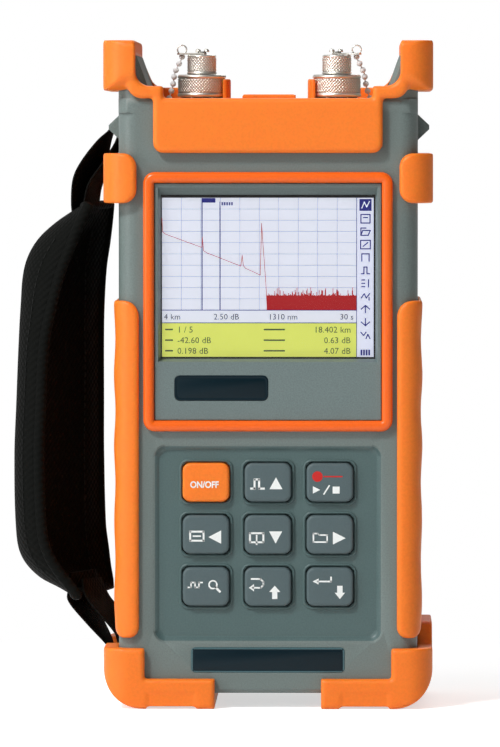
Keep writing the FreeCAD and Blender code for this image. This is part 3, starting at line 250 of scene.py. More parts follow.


# the case's edges get a strong painted highlight, paler than its faces
case_plastic = moulded("case_plastic", chip(107, 120, 117), 0.4, grain=0.5, depth=0.05, edge=0.45,
                       edge_highlight=0.45)
# the sunken floor of the keypad is drawn darker than the front round it
add = adder(case_plastic.node_tree)
axes = add("SeparateXYZ", (add("TexCoord").outputs["Object"],))
within = 1.0
for axis, middle, half in ((0, 0.0, 37.2), (1, -29.4, 1.0), (2, 54.4, 32.1)):
    near = add("Math", (axes.outputs[axis], middle * mm, half * mm), operation="COMPARE")
    within = add("Math", (near, within), operation="MULTIPLY")
front_tone = add("Principled BSDF").inputs["Base Color"].links[0].from_socket
darker = add("Mix", {0: within, 6: front_tone, 7: (0.5, 0.66, 0.69, 1)}, data_type="RGBA",
             blend_type="MULTIPLY")
add("Principled BSDF", {"Base Color": darker.outputs[2]})
for part, body in (("front_shell", "instrument"), ("rear_shell", "instrument"),
                   ("stand", "stand"), ("battery_door", "battery_door")):
    fitted(part + "_moulding", pressed(part, case_plastic), body, "case_grey", part)


# ---------------- rubber bumpers
# Orange rubber over-mouldings: the top piece with its horns, two clips, two grips and the feet,
# and the flap. The rubber is satin, its edges are full, and light soaks a little way into it.
bumper_rubber = moulded("bumper_rubber", chip(250, 128, 34), 0.48, grain=0.8, depth=0.02,
                        mottle=0.02, gloss=0.4)
add = adder(bumper_rubber.node_tree)
add("Principled BSDF", {"Subsurface Weight": 0.35, "Subsurface Scale": 0.004,
                        "Subsurface Radius": (1.0, 0.22, 0.05)})


wave_depth, wave_fades, wave_length = 0.45 * mm, 4 * mm, 3.9 * mm
for part, fineness, rubs in (("top_bumper", 0.55, 4), ("side_clip_left", 0.4, 10),
                             ("side_clip_right", 0.4, 10), ("side_grip_left", 0.5, 14),
                             ("side_grip_right", 0.5, 14), ("corner_bumper_left", 0.45, 7),
                             ("corner_bumper_right", 0.45, 7), ("flap_strip", 0.2, 3),
                             ("port_flap", 0.2, 3)):
    # cast on the CAD node's form, with the edges full as they come out of the mould
    rough = placed(part + "_blank", closed_copy(part, bumper_rubber))
    cast = rough.modifiers.new("cast", "REMESH")
    cast.mode, cast.voxel_size, cast.use_smooth_shade = "VOXEL", fineness * mm, True
    rub = rough.modifiers.new("rub", "SMOOTH")
    rub.factor, rub.iterations = 0.5, rubs
    mesh = plain_mesh(rough, part + "_cast")
    if part.startswith("side_grip"):
        # shallow finger waves down the outer side
        edge_x = max(abs(v.co.x) for v in mesh.vertices)
        for v in mesh.vertices:
            share = max(0.0, 1 - (edge_x - abs(v.co.x)) / wave_fades)
            swell = wave_depth * share * (0.5 + 0.5 * math.cos(v.co.z / wave_length))
            v.co.x -= math.copysign(swell, v.co.x)
    fitted(part + "_cast", mesh, "port_flap" if part == "port_flap" else "instrument",
           "bumper_orange", part)


# ---------------- display ring
# A glossy orange frame with a rounded section, pressed into the case round the display.
def band(width, height, radius, x, z, y, inset=0.0, steps=7):
    """Points round a rounded rectangle in the front view; sizes in mm."""
    across, up = width / 2 - inset, height / 2 - inset
    r = max(radius - inset, 0.12)
    points = []
    for sx, sz, first in ((1, -1, -90), (1, 1, 0), (-1, 1, 90), (-1, -1, 180)):
        for i in range(steps):
            a = math.radians(first + 90 * i / (steps - 1))
            points.append(Vector((x + sx * (across - r) + r * math.cos(a), y,
                                  z + sz * (up - r) + r * math.sin(a))) * mm)
    return points


def skinned(name, loops, material, closed=False, keen=50):
    """A skin over loops of points, smooth except at edges over keen degrees; a loop may be one
    point. The skin closes on itself, or its first and last loop are filled."""
    shape = bmesh.new()
    rows = [[shape.verts.new(p) for p in loop] for loop in loops]
    for one, two in list(zip(rows, rows[1:])) + ([(rows[-1], rows[0])] if closed else []):
        around = max(len(one), len(two))
        for i in range(around):
            j = (i + 1) % around
            ends = [one[i % len(one)], one[j % len(one)], two[j % len(two)], two[i % len(two)]]
            shape.faces.new([v for k, v in enumerate(ends) if v not in ends[:k]])
    for row in () if closed else (rows[0], rows[-1]):
        if len(row) > 1:
            shape.faces.new(row)
    bmesh.ops.recalc_face_normals(shape, faces=shape.faces)
    for face in shape.faces:
        face.smooth = True
    mesh = bpy.data.meshes.new(name)
    shape.to_mesh(mesh)
    shape.free()
    mesh.materials.append(material)
    if keen:
        mesh.set_sharp_from_angle(angle=math.radians(keen))
    return mesh


def stepped(name, width, height, radius, middle, steps, material, corner_steps=7, **how):
    """A skin over rounded rectangles round one middle, given by their (inset, y)."""
    return skinned(name, [band(width, height, radius, middle.x, middle.z, y, inset, corner_steps)
                          for inset, y in steps], material, **how)


def box_mm(node):
    """A CAD node's lowest corner, highest corner and middle, in mm."""
    low, high = (Vector(corner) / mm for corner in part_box(node))
    return low, high, (low + high) / 2


ring_plastic = moulded("ring_plastic", chip(246, 102, 10), 0.3, grain=0.8, depth=0.015,
                       mottle=0.02)
low, high, mid = box_mm("screen_ring")
across, up, stands = high.x - low.x, high.z - low.z, high.y - low.y
section = ((0, 0), (0, 0.45), (0.22, 0.72), (0.7, 0.93), (1.4, 1.0), (2.2, 1.0), (2.9, 0.92),
           (3.35, 0.72), (3.6, 0.42), (3.6, 0))
ring = stepped("display_ring", across, up, 3.8, mid,
               [(inset, high.y - stands * lift) for inset, lift in section], ring_plastic,
               corner_steps=9, closed=True)
fitted("display_ring", ring, "instrument", "ring_orange", "screen_ring")


# ---------------- bezel, window and picture
# The bezel plate slopes down to the window on all sides. Behind the clear window a backlit panel
# shows a fibre trace: a grid, two cursors, a falling line with its events, and a table of values.
# its edges get a painted highlight, paler than its faces
bezel_plastic = moulded("bezel_plastic", chip(106, 121, 120), 0.4, grain=0.45, depth=0.06,
                        mottle=0.06, edge=0.35)
fitted("bezel_plate", pressed("screen_panel", bezel_plastic, keen=5), "instrument", "bezel_grey",
       "screen_panel")

window, add = new_material("clear_window", bare=True)
smear = add("TexNoise", {"Vector": add("TexCoord").outputs["Object"], "Scale": 60.0})
haze = add("MapRange", (smear, 0.0, 1.0, 0.03, 0.12))
edge_on = add("Fresnel", {"IOR": 1.25})
gleam = add("BsdfGlossy", {"Roughness": haze})
add("OutputMaterial", (add("MixShader", (edge_on, add("BsdfTransparent"), gleam)),))


def finish_node(node, material):
    """Gives a CAD node that keeps its shape its finish."""
    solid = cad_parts[node]
    for slot in solid.material_slots:
        slot.material = material


finish_node("screen_lens", window)
cell_black = moulded("cell_black", chip(14, 17, 18), 0.2, grain=0.6, depth=0.01)
finish_node("lcd_module", cell_black)

picture_ink, add = new_material("lit_picture")
ink = add("Attribute", attribute_name="ink").outputs["Color"]
backlight = add("TexNoise", {"Vector": add("TexCoord").outputs["Object"], "Scale": 14.0})
even = add("MapRange", (backlight, 0.0, 1.0, 0.93, 1.03))
lit = add("VectorMath", {0: ink, "Scale": even}, operation="SCALE")
add("Principled BSDF", {"Base Color": lit, "Emission Color": lit, "Emission Strength": 0.55,
                        "Roughness": 0.4})

low, high, mid = box_mm("lcd_module")
view_left, view_right = mid.x - 34.95, mid.x + 34.75
view_low, view_high = mid.z - 26.2, mid.z + 26.2
face_y = low.y
points, faces, inks = [], [], []


def patch(corners, layer, colour):
    """A filled area of the picture; a higher layer lies in front."""
    lies_at = face_y - 0.012 - 0.014 * layer
    faces.append(tuple(range(len(points), len(points) + len(corners))))
    points.extend((x * mm, lies_at * mm, z * mm) for x, z in corners)
    inks.append(colour)


def bar(x0, z0, x1, z1, layer, colour):
    patch(((x0, z0), (x1, z0), (x1, z1), (x0, z1)), layer, colour)


def strokes(points, width):
    """Four-sided pieces of a line through the points, each run a little long at its ends."""
    pieces = []
    for (x0, z0), (x1, z1) in zip(points, points[1:]):
        run = Vector((x1 - x0, z1 - z0))
        along = run.normalized() * width * 0.35
        side = Vector((-along.y, along.x)).normalized() * width / 2
        a, b = Vector((x0, z0)) - along, Vector((x1, z1)) + along
        pieces.append([tuple(a - side), tuple(b - side), tuple(b + side), tuple(a + side)])
    return pieces


def draw(line, width, colour):
    for piece in strokes(line, width):
        patch(piece, 3, colour)


paper_white, pale_line, navy = chip(222, 226, 238), chip(158, 164, 190), chip(26, 30, 118)
trace_red, noise_red = chip(168, 62, 58), chip(166, 10, 18)
table_yellow, table_ink = chip(214, 222, 104), chip(66, 78, 48)
graph_right, graph_low = view_right - 5.6, view_high - 37.0
column, row = (graph_right - view_left) / 10, (view_high - graph_low) / 10
bar(view_left, view_low, view_right, view_high, 0, paper_white)
for i in range(1, 10):
    x, z = view_left + column * i, graph_low + row * i
    bar(x - 0.09, graph_low, x + 0.09, view_high, 1, pale_line)
    bar(view_left, z - 0.09, graph_right, z + 0.09, 1, pale_line)
for place_x, drop in ((2.06, 0.1), (2.98, 1.2)):
    x = view_left + column * place_x
    bar(x - 0.16, graph_low, x + 0.16, view_high - drop, 2, navy)
    bar(x, view_high - drop - 1.5, x + 4.4, view_high - drop, 2, navy if drop < 1 else paper_white)
for i in range(5):
    x = view_left + column * 2.98 + 0.5 + 0.8 * i
    bar(x, view_high - 2.5, x + 0.5, view_high - 1.4, 3, navy)
events = ((0.0, 8.2), (0.03, 7.0), (0.16, 6.78), (1.98, 5.62), (2.05, 5.6), (2.07, 6.5),
          (2.14, 5.3), (2.3, 5.1), (4.05, 3.92), (4.12, 4.9), (4.18, 3.95), (4.3, 3.72),
          (5.05, 3.12), (5.12, 7.75), (5.2, 5.6), (5.35, 2.0), (5.4, 0.2))
draw([(view_left + column * u, graph_low + row * v) for u, v in events], 0.2, trace_red)
rng = random.Random(7)
left = view_left + column * 5.38
count = 150
for i in range(count):
    x0 = left + (graph_right - left) * i / count
    x1 = left + (graph_right - left) * (i + 1) / count
    top = graph_low + row * (1.3 + 0.75 * rng.random() ** 3)
    bar(x0, graph_low, x1 + 0.02, top, 3, noise_red)
strip_low = graph_low - 4.2
for z in (graph_low, strip_low):
    bar(view_left, z - 0.13, graph_right, z + 0.13, 3, navy)
bar(view_left, view_low, graph_right, strip_low, 1, table_yellow)
bar(graph_right - 0.1, view_low, graph_right + 0.12, view_high, 3, navy)
bar(graph_right + 0.12, view_low, view_right, view_high, 1, chip(222, 226, 244))

# menu column: plain signs, from the top down
icon_x = (graph_right + view_right) / 2 + 0.1
bar(icon_x - 2.0, view_high - 4.3, icon_x + 2.0, view_high - 0.4, 2, navy)
draw([(icon_x - 1.2, view_high - 3.4), (icon_x - 0.4, view_high - 1.4),
      (icon_x + 0.4, view_high - 3.0), (icon_x + 1.3, view_high - 1.2)], 0.35, paper_white)
signs = (
    [[(-1.5, -1.4), (1.5, -1.4), (1.5, 1.4), (-1.5, 1.4), (-1.5, -1.4)], [(-0.7, 0.4), (0.7, 0.4)]],
    [[(-1.5, -1.2), (0.9, -1.2), (1.6, 0.4), (-0.9, 0.4), (-1.5, -1.2), (-1.5, 1.2), (0.2, 1.2)]],
    [[(-1.6, -1.4), (1.6, -1.4), (1.6, 1.4), (-1.6, 1.4), (-1.6, -1.4)],
     [(-0.8, -0.6), (0.8, 0.7)]],
    [[(-1.2, -1.2), (-1.2, 1.2), (1.2, 1.2), (1.2, -1.2)]],
    [[(-1.4, -1.1), (-0.5, -1.1), (-0.5, 1.1), (0.5, 1.1), (0.5, -1.1), (1.4, -1.1)]],
    [[(-1.2, 1.1), (-0.2, 1.1)], [(-1.2, 0), (-0.2, 0)], [(-1.2, -1.1), (-0.2, -1.1)],
     [(1.0, -1.2), (1.0, 1.2)]],
    [[(-1.4, -0.6), (-0.4, 0.8), (0.3, -0.6), (1.4, 0.9)], [(1.2, -1.3), (1.2, -0.4)]],
    [[(-1.4, 0), (0, 1.2), (1.4, 0)], [(0, 1.0), (0, -1.2)]],
    [[(-1.4, 0), (0, -1.2), (1.4, 0)], [(0, -1.0), (0, 1.2)]],
    [[(-1.5, 0.9), (-0.6, -0.2), (0.2, 0.9)], [(0.2, -1.2), (0.8, 0.2), (1.5, -1.2)]],
)
for i, sign in enumerate(signs):
    z = view_high - 6.9 - 4.25 * i
    for line in sign:
        draw([(icon_x + u, z + v) for u, v in line], 0.38, navy)
for i in range(4):
    bar(icon_x - 1.6 + 0.85 * i, view_low + 0.5, icon_x - 1.0 + 0.85 * i, view_low + 2.4, 3, navy)


def lettering(text, **settings):
    """A flat mesh of the text in the plain built-in letter shapes, one unit high."""
    font = bpy.data.curves.new("lettering", "FONT")
    font.body, font.size = text, 1.0
    for name, value in settings.items():
        setattr(font, name, value)
    return plain_mesh(placed("lettering", font), "lettering")


def figures(text, height, x, z, to_left=False, colour=table_ink):
    """Numbers added to the picture, which run to the right or the left of x."""
    flat = lettering(text, resolution_u=2)
    scale = height / 0.73
    start = x - (max(v.co.x for v in flat.vertices) * scale if to_left else 0.0)
    patch([(start + v.co.x * scale, z + v.co.y * scale) for v in flat.vertices], 4, colour)
    first = faces.pop()[0]
    inks.pop()
    for polygon in flat.polygons:
        faces.append(tuple(first + i for i in polygon.vertices))
        inks.append(colour)
    bpy.data.meshes.remove(flat)


for text, x, to_left in (("4 km", 0.6, False), ("2.50 dB", 17.0, False), ("1310 nm", 35.0, False),
                         ("30 s", 63.0, True)):
    figures(text, 2.0, view_left + x, strip_low + 1.1, to_left, chip(40, 42, 60))
for i, (first, second) in enumerate((("1 / 5", "18.402 km"), ("-42.60 dB", "0.63 dB"),
                                     ("0.198 dB", "4.07 dB"))):
    z = strip_low - 3.2 - 3.5 * i
    figures(first, 2.1, view_left + 5.0, z)
    figures(second, 2.1, graph_right - 2.0, z, to_left=True)
for i in range(3):
    z = strip_low - 2.2 - 3.5 * i
    for x0, x1 in ((1.0, 3.6), (33.5, 40.5)):
        bar(view_left + x0, z - 0.25, view_left + x1, z + 0.25, 4, table_ink)
mesh = drawn("lit_picture", points, [], faces, picture_ink)
painted = mesh.color_attributes.new("ink", "FLOAT_COLOR", "CORNER")
for polygon, colour in zip(mesh.polygons, inks):
    for corner in polygon.loop_indices:
        painted.data[corner].color = colour
fitted("lit_picture", mesh, "instrument", "screen")


# ---------------- badge plates
# Two bare plates in very dark teal with rounded rims: the badge under the window and the long
# plate near the foot of the case.
plate_teal = moulded("plate_teal", chip(2, 27, 36), 0.34, grain=0.5, depth=0.008, mottle=0.03,
                     gloss=0.2)
plate_rim = moulded("plate_rim", chip(62, 96, 102), 0.3, grain=0.5, depth=0.008)
rim_width = 0.66
for plate, corner in (("small_plate", 2.0), ("large_plate", 1.4)):
    low, high, mid = box_mm(plate)
    wide, tall, deep = high.x - low.x, high.z - low.z, high.y - low.y
    steps = [(inset, high.y - deep * lift)
             for inset, lift in ((0, 0), (0, 0.55), (0.1, 0.85), (0.3, 1.0), (0.62, 1.0),
                                 (0.72, 0.9), (1.0, 0.9), (1.1, 1.0))]
    mesh = stepped(plate + "_finish", wide, tall, corner, mid, steps, plate_teal, keen=35)
    if plate == "large_plate":
        mesh.materials.append(plate_rim)
        for polygon in mesh.polygons:
            middle = polygon.center / mm
            edge_x, edge_z = wide / 2 - abs(middle.x - mid.x), tall / 2 - abs(middle.z - mid.z)
            polygon.material_index = 1 if min(edge_x, edge_z) < rim_width else 0
    fitted(plate + "_finish", mesh, "instrument", "plate_teal", plate)


# ---------------- keys
# Nine silicone keys in three rows, the switch key orange. Each carries printed signs in white ink;
# the test key has a red dot with a line of light above its sign.
key_rubber = moulded("key_rubber", chip(82, 98, 101), 0.5, grain=0.3, depth=0.015, mottle=0.03,
                     gloss=0.35)
key_ink = moulded("key_ink", chip(238, 242, 240), 0.5, grain=0.3, depth=0.002, mottle=0.02)
dot_ink = moulded("dot_ink", chip(196, 26, 22), 0.45, grain=0.3, depth=0.002, mottle=0.02)


def disc(x, z, radius, count=20):
    return [(x + radius * math.cos(2 * math.pi * i / count),
             z + radius * math.sin(2 * math.pi * i / count)) for i in range(count)]


def rim(x, z, radius, width, count=18):
    """Four-sided pieces of a printed circle."""
    inner, outer = disc(x, z, radius - width / 2, count), disc(x, z, radius + width / 2, count)
    return [[inner[i], outer[i], outer[(i + 1) % count], inner[(i + 1) % count]]
            for i in range(count)]


def shift(pieces, dx, dz):
    return [[(x + dx, z + dz) for x, z in piece] for piece in pieces]


key_height, rim_wide, rim_tall = 2.4, 17.8, 15.2
rim_bead = [(0.46 - 0.46 * math.cos(math.pi * i / 8), 0.62 * math.sin(math.pi * i / 8))
            for i in range(9)]
pulse = strokes([(-2.3, -1.6), (-1.1, -1.6), (-1.1, 1.4), (0.4, 1.4), (0.4, -1.6), (2.0, -1.6)],
                0.68)
frame_sign = strokes([(-2.2, -1.5), (2.2, -1.5), (2.2, 1.5), (-2.2, 1.5), (-2.2, -1.5)], 0.62)
signs_of = {
    "key_up": shift(pulse, -3.3, -0.4) + [[(0.5, -2.2), (4.8, -2.2), (2.65, 1.7)]],
    "key_run": [[(-5.6, -3.6), (-5.6, -1.2), (-3.2, -2.4)]]
    + strokes([(-2.0, -3.8), (-0.2, -1.0)], 0.45)
    + [[(0.9, -3.6), (3.2, -3.6), (3.2, -1.3), (0.9, -1.3)]],
    "key_left": shift(frame_sign + strokes([(-1.2, 0), (1.2, 0)], 0.5), -3.0, -0.5)
    + [[(5.0, -3.0), (5.0, 1.4), (0.8, -0.8)]],
    "key_down": shift(frame_sign + strokes([(0, -2.2), (0, 0.8)], 0.5), -3.7, -1.0)
    + [[(0.4, 1.1), (2.55, -2.9), (4.7, 1.1)]],
    "key_right": shift(strokes([(-2.2, -1.6), (-2.2, 1.2), (-0.8, 1.2), (-0.3, 0.7), (2.3, 0.7),
                                (2.3, -1.6), (-2.2, -1.6)], 0.5), -3.2, -0.8)
    + [[(1.0, -3.2), (5.2, -1.1), (1.0, 1.0)]],
    "key_shift": strokes([(-5.9, -0.2), (-4.9, -0.2), (-4.9, 1.4), (-3.6, 1.4), (-3.6, -0.2),
                          (-2.3, -0.2), (-2.3, 1.4), (-1.2, 1.4)], 0.5)
    + rim(2.3, 0.7, 1.3, 0.5) + strokes([(3.2, -0.2), (4.6, -1.6)], 0.7),
    "key_back": strokes([(-5.4, 2.6), (-2.4, 2.6), (-1.5, 1.6), (-1.5, 0.6), (-2.4, -0.3),
                         (-5.0, -0.3)], 0.55) + [[(-6.3, -0.3), (-4.6, -1.5), (-4.6, 0.9)]]
    + [[(0.4, -1.7), (4.1, -1.7), (2.25, 0.4)],
       [(1.4, -4.0), (3.1, -4.0), (3.1, -1.7), (1.4, -1.7)]],
    "key_enter": strokes([(0.4, 3.2), (0.4, 1.8), (-4.0, 1.8)], 0.55)
    + [[(-5.7, 1.8), (-3.7, 0.8), (-3.7, 2.8)]]
    + [[(1.6, -1.9), (5.0, -1.9), (3.3, -4.0)], [(2.4, -1.9), (4.2, -1.9), (4.2, 0.4), (2.4, 0.4)]],
}
key_names = ("key_power", *signs_of)
for key in key_names:
    # the raised bead of the case round the key's opening
    low, high, mid = box_mm(key)
    floor_y = low.y + key_height
    steps = [(inset, floor_y - lift) for inset, lift in [(0, -0.1)] + rim_bead + [(0.92, -0.1)]]
    fitted(key + "_rim", stepped(key + "_rim", rim_wide, rim_tall, 3.0, mid, steps, case_plastic,
                                 closed=True), "instrument", "case_grey")
for key in key_names:
    # the key's cap, which starts on its flange, and its print
    low, high, mid = box_mm(key)
    wide, tall = high.x - low.x, high.z - low.z
    lip_y = min(v.co.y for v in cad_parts[key].data.vertices
                if abs(v.co.x / mm - mid.x) > wide / 2 - 0.3) / mm
    steps = ((0, high.y), (0, lip_y), (1.1, lip_y), (1.1, low.y + 1.1), (1.16, low.y + 0.62),
             (1.36, low.y + 0.26), (1.7, low.y + 0.06), (2.2, low.y), (5.0, low.y))
    rubber, slot = ((bumper_rubber, "bumper_orange") if key == "key_power" else
                    (key_rubber, "key_plastic"))
    fitted(key + "_cap", stepped(key + "_cap", wide, tall, 3.7, mid, steps, rubber), key, slot, key)
    points, faces, reds = [], [], 0

    def printed(piece, proud=0.03):
        first = len(points)
        area = sum(a[0] * b[1] - b[0] * a[1] for a, b in zip(piece, piece[1:] + piece[:1]))
        for x, z in (piece if area > 0 else piece[::-1]):
            points.append(((mid.x + x) * mm, (low.y - proud) * mm, (mid.z + z) * mm))
        faces.append(tuple(range(first, len(points))))

    if key == "key_power":
        text_wide, text_left, text_low, stretch = 9.4, -5.2, -1.7, 1.15
        flat = lettering("ON/OFF", offset=0.028)
        scale = text_wide / max(v.co.x for v in flat.vertices)
        for polygon in flat.polygons:
            printed([(text_left + scale * flat.vertices[i].co.x,
                      text_low + scale * stretch * flat.vertices[i].co.y)
                     for i in polygon.vertices])
        bpy.data.meshes.remove(flat)
    else:
        for piece in signs_of[key]:
            printed([tuple(p) for p in piece])
    if key == "key_run":
        reds = len(faces)
        printed(disc(-4.1, 2.0, 1.75))
        printed([(-2.0, 1.75), (4.2, 1.75), (4.2, 2.2), (-2.0, 2.2)], proud=0.04)
    mesh = drawn(key + "_print", points, [], faces, key_ink, dot_ink)
    for i, polygon in enumerate(mesh.polygons):
        polygon.material_index = 1 if reds and i >= reds else 0
    fitted(key + "_print", mesh, key, "key_plastic")


# ---------------- ports
# Two knurled lock nuts on the deck, each port closed by a knurled dust cap on a swivel strip, and
# the strip held to the deck by a bead chain. All of it is bright nickel.
def metal(name, colour, roughness, grain=0.25, depth=0.003):
    """Turned or plated metal: cloudy gloss, a fine grain, and painted shade in its hollows."""
    material, add = new_material(name)
    place = add("TexCoord").outputs["Object"]
    cloud = add("TexNoise", {"Vector": place, "Scale": 180.0, "Detail": 5.0})
    rough = add("MapRange", (cloud, 0.0, 1.0, roughness - 0.08, roughness + 0.12))
    tone = add("Mix", {0: cloud, 6: shade(colour, 0.9), 7: colour}, data_type="RGBA").outputs[2]
    # painted shade: the colour is darkened where ambient occlusion finds hollows, such as the
    # knurl's grooves
    open_sky = add("AmbientOcclusion", {"Distance": 0.5 * mm}, samples=6).outputs["AO"]
    hollow_shade = add("MapRange", (open_sky, 0.35, 0.95, 0.12))
    hollow_shaded_tone = add("VectorMath", {0: tone, "Scale": hollow_shade}, operation="SCALE")
    pits = add("TexNoise", {"Vector": place, "Scale": 1 / (grain * mm)})
    raised = add("Bump", {"Strength": 0.5, "Distance": depth * mm, "Height": pits})
    add("Principled BSDF", {"Metallic": 1.0, "Roughness": rough, "Base Color": hollow_shaded_tone,
                            "Normal": raised})
    return material


nickel = metal("nickel_plate", chip(250, 246, 236), 0.36)


def lathed(name, profile, x, segments, closed=False):
    """A turned nickel part on an upright axis over (x, 0), from points (radius, height) in mm."""
    turns = [2 * math.pi * i / segments for i in range(segments)]
    loops = [[Vector((x + r * math.cos(a), r * math.sin(a), z)) * mm
              for a in (turns if r else [0.0])] for r, z in profile]
    return skinned(name, loops, nickel, closed, keen=0)


def new_tree(name, settings):
    """An empty geometry tree with named inputs: the tree, its adder, its inputs, and its ending."""
    tree = bpy.data.node_groups.new(name, "GeometryNodeTree")
    tree.interface.new_socket("Geometry", in_out="INPUT", socket_type="NodeSocketGeometry")
    for label, value in settings:
        kind = "NodeSocketInt" if isinstance(value, int) else "NodeSocketFloat"
        tree.interface.new_socket(label, in_out="INPUT", socket_type=kind).default_value = value
    tree.interface.new_socket("Finish", in_out="INPUT", socket_type="NodeSocketMaterial")
    tree.interface.new_socket("Geometry", in_out="OUTPUT", socket_type="NodeSocketGeometry")
    add = adder(tree)
    given = add("NodeGroupInput").outputs

    def ended(last, smooth=False):
        real = add("GeometryNodeRealizeInstances", (last,))
        real = add("GeometryNodeSetShadeSmooth", (real,)) if smooth else real
        coat = add("GeometryNodeSetMaterial", {"Geometry": real, "Material": given["Finish"]})
        add("NodeGroupOutput", (coat,))
    return tree, add, given, ended


def grown(name, mesh, tree, finish, **settings):
    """The mesh put through a geometry tree with these settings, as a plain mesh."""
    settings = {label.replace("_", " "): value for label, value in settings.items()}
    rough = placed(name, mesh)
    growth = rough.modifiers.new(name, "NODES")
    growth.node_group = tree
    for item in tree.interface.items_tree:
        if item.in_out == "INPUT" and item.name in settings:
            growth[item.identifier] = settings[item.name]
        if item.in_out == "INPUT" and item.name == "Finish":
            growth[item.identifier] = finish
    return plain_mesh(rough, name)


knurl, add, given, ended = new_tree("diamond_knurl", (
    ("Axis X", 0.0), ("Radius", 0.008), ("Count", 64.0), ("Depth", 0.0003), ("Low", 0.0),
    ("High", 0.01)))


def maths(operation, *values):
    return add("Math", values, operation=operation).outputs[0]


parts_of = add("SeparateXYZ", (add("GeometryNodeInputPosition"),)).outputs
out_x, out_y, at_z = maths("SUBTRACT", parts_of[0], given["Axis X"]), parts_of[1], parts_of[2]
turns = maths("MULTIPLY", maths("ARCTAN2", out_y, out_x),
              maths("DIVIDE", given["Count"], 2 * math.pi))
climb = maths("DIVIDE", maths("MULTIPLY", at_z, given["Count"]),
              maths("MULTIPLY", given["Radius"], 2 * math.pi))
left_cut = maths("PINGPONG", maths("ADD", turns, climb), 0.5)
right_cut = maths("PINGPONG", maths("SUBTRACT", turns, climb), 0.5)
crest = maths("MULTIPLY", maths("MINIMUM", left_cut, right_cut), 2.0)
inside = maths("MULTIPLY", maths("GREATER_THAN", at_z, given["Low"]),
               maths("LESS_THAN", at_z, given["High"]))
reach_out = maths("SQRT", maths("ADD", maths("MULTIPLY", out_x, out_x),
                                maths("MULTIPLY", out_y, out_y)))
inside = maths("MULTIPLY", inside,
               maths("GREATER_THAN", reach_out, maths("SUBTRACT", given["Radius"], 0.0006)))
push = maths("MULTIPLY", maths("MULTIPLY", crest, inside), given["Depth"])
unit = add("VectorMath", (add("CombineXYZ", (out_x, out_y)),), operation="NORMALIZE")
moved = add("VectorMath", {0: unit, "Scale": push}, operation="SCALE")
ended(add("GeometryNodeSetPosition", {"Geometry": given["Geometry"], "Offset": moved}))


def between(low, high, step):
    count = max(2, round((high - low) / step))
    return [low + (high - low) * i / count for i in range(count + 1)]


beads, add, given, ended = new_tree("bead_chain", (("Beads", 8), ("Bead radius", 0.001),
                                                   ("Wire radius", 0.0002)))
line = add("GeometryNodeMeshToCurve", (given["Geometry"],))
spread = add("GeometryNodeResampleCurve", {"Curve": line, "Count": given["Beads"]})
ball = add("GeometryNodeMeshUVSphere", {"Segments": 10, "Rings": 6, "Radius": given["Bead radius"]})
strung = add("GeometryNodeInstanceOnPoints", {"Points": spread, "Instance": ball})
hoop = add("GeometryNodeCurvePrimitiveCircle", {"Resolution": 8, "Radius": given["Wire radius"]})
wire = add("GeometryNodeCurveToMesh", {"Curve": line, "Profile Curve": hoop, "Fill Caps": True})
joined = add("GeometryNodeJoinGeometry", (strung,))
ended(add(joined, (wire,)), smooth=True)


def joined_mesh(name, meshes):
    """One mesh of several that share a material."""
    shape = bmesh.new()
    for mesh in meshes:
        shape.from_mesh(mesh)
    whole = bpy.data.meshes.new(name)
    whole.materials.append(meshes[0].materials[0])
    shape.to_mesh(whole)
    shape.free()
    return whole


def tube_ring(middle, one, other, count):
    """Points round an ellipse with these half axes; sizes in mm."""
    return [(middle + one * math.cos(a) + other * math.sin(a)) * mm
            for a in (2 * math.pi * k / count for k in range(count))]


def hoop_mesh(middle, radius, thick, across=Vector((0, 1, 0)), around=36):
    """A nickel wire ring about the given direction; sizes in mm."""
    turn_to = across.to_track_quat("Z", "Y").to_matrix()
    loops = []
    for i in range(around):
        a = 2 * math.pi * i / around
        out_way = turn_to @ Vector((math.cos(a), math.sin(a), 0))
        loops.append(tube_ring(middle + out_way * radius, out_way * thick,
                               across.normalized() * thick, 10))
    return skinned("hoop", loops, nickel, closed=True)


port_reach, bore = 22.5, 4.05       # from the middle to a port's axis, and the clear radius there
nut_meshes = []
for side in (-1, 1):
    low, high, _ = box_mm("lock_nuts")
    r, port_x = 8.1, port_reach * side
    rows = between(low.z + 1.5, high.z - 1.5, 0.2)
    profile = ([(bore + 0.3, low.z), (r - 0.35, low.z), (r - 0.05, low.z + 0.3),
                (r - 0.05, low.z + 1.1), (r - 0.5, low.z + 1.35)] + [(r - 0.48, z) for z in rows] +
               [(r - 0.5, high.z - 1.35), (r - 0.05, high.z - 1.1), (r - 0.05, high.z - 0.5),
                (r - 0.5, high.z), (bore + 0.4, high.z), (bore, high.z - 0.4), (bore, low.z + 0.3)])
    blank = lathed("nut_blank", profile, port_x, 320, closed=True)
    nut_meshes.append(grown("lock_nut", blank, knurl, nickel, Axis_X=port_x * mm, Radius=r * mm,
                            Count=46.0, Depth=0.00048, Low=(low.z + 1.45) * mm,
                            High=(high.z - 1.45) * mm))
fitted("lock_nuts_turned", joined_mesh("lock_nuts_turned", nut_meshes), "instrument", "nickel",
       "lock_nuts")
fitted("port_adapters_turned", closed_copy("port_adapters", nickel), "instrument", "nickel",
       "port_adapters")

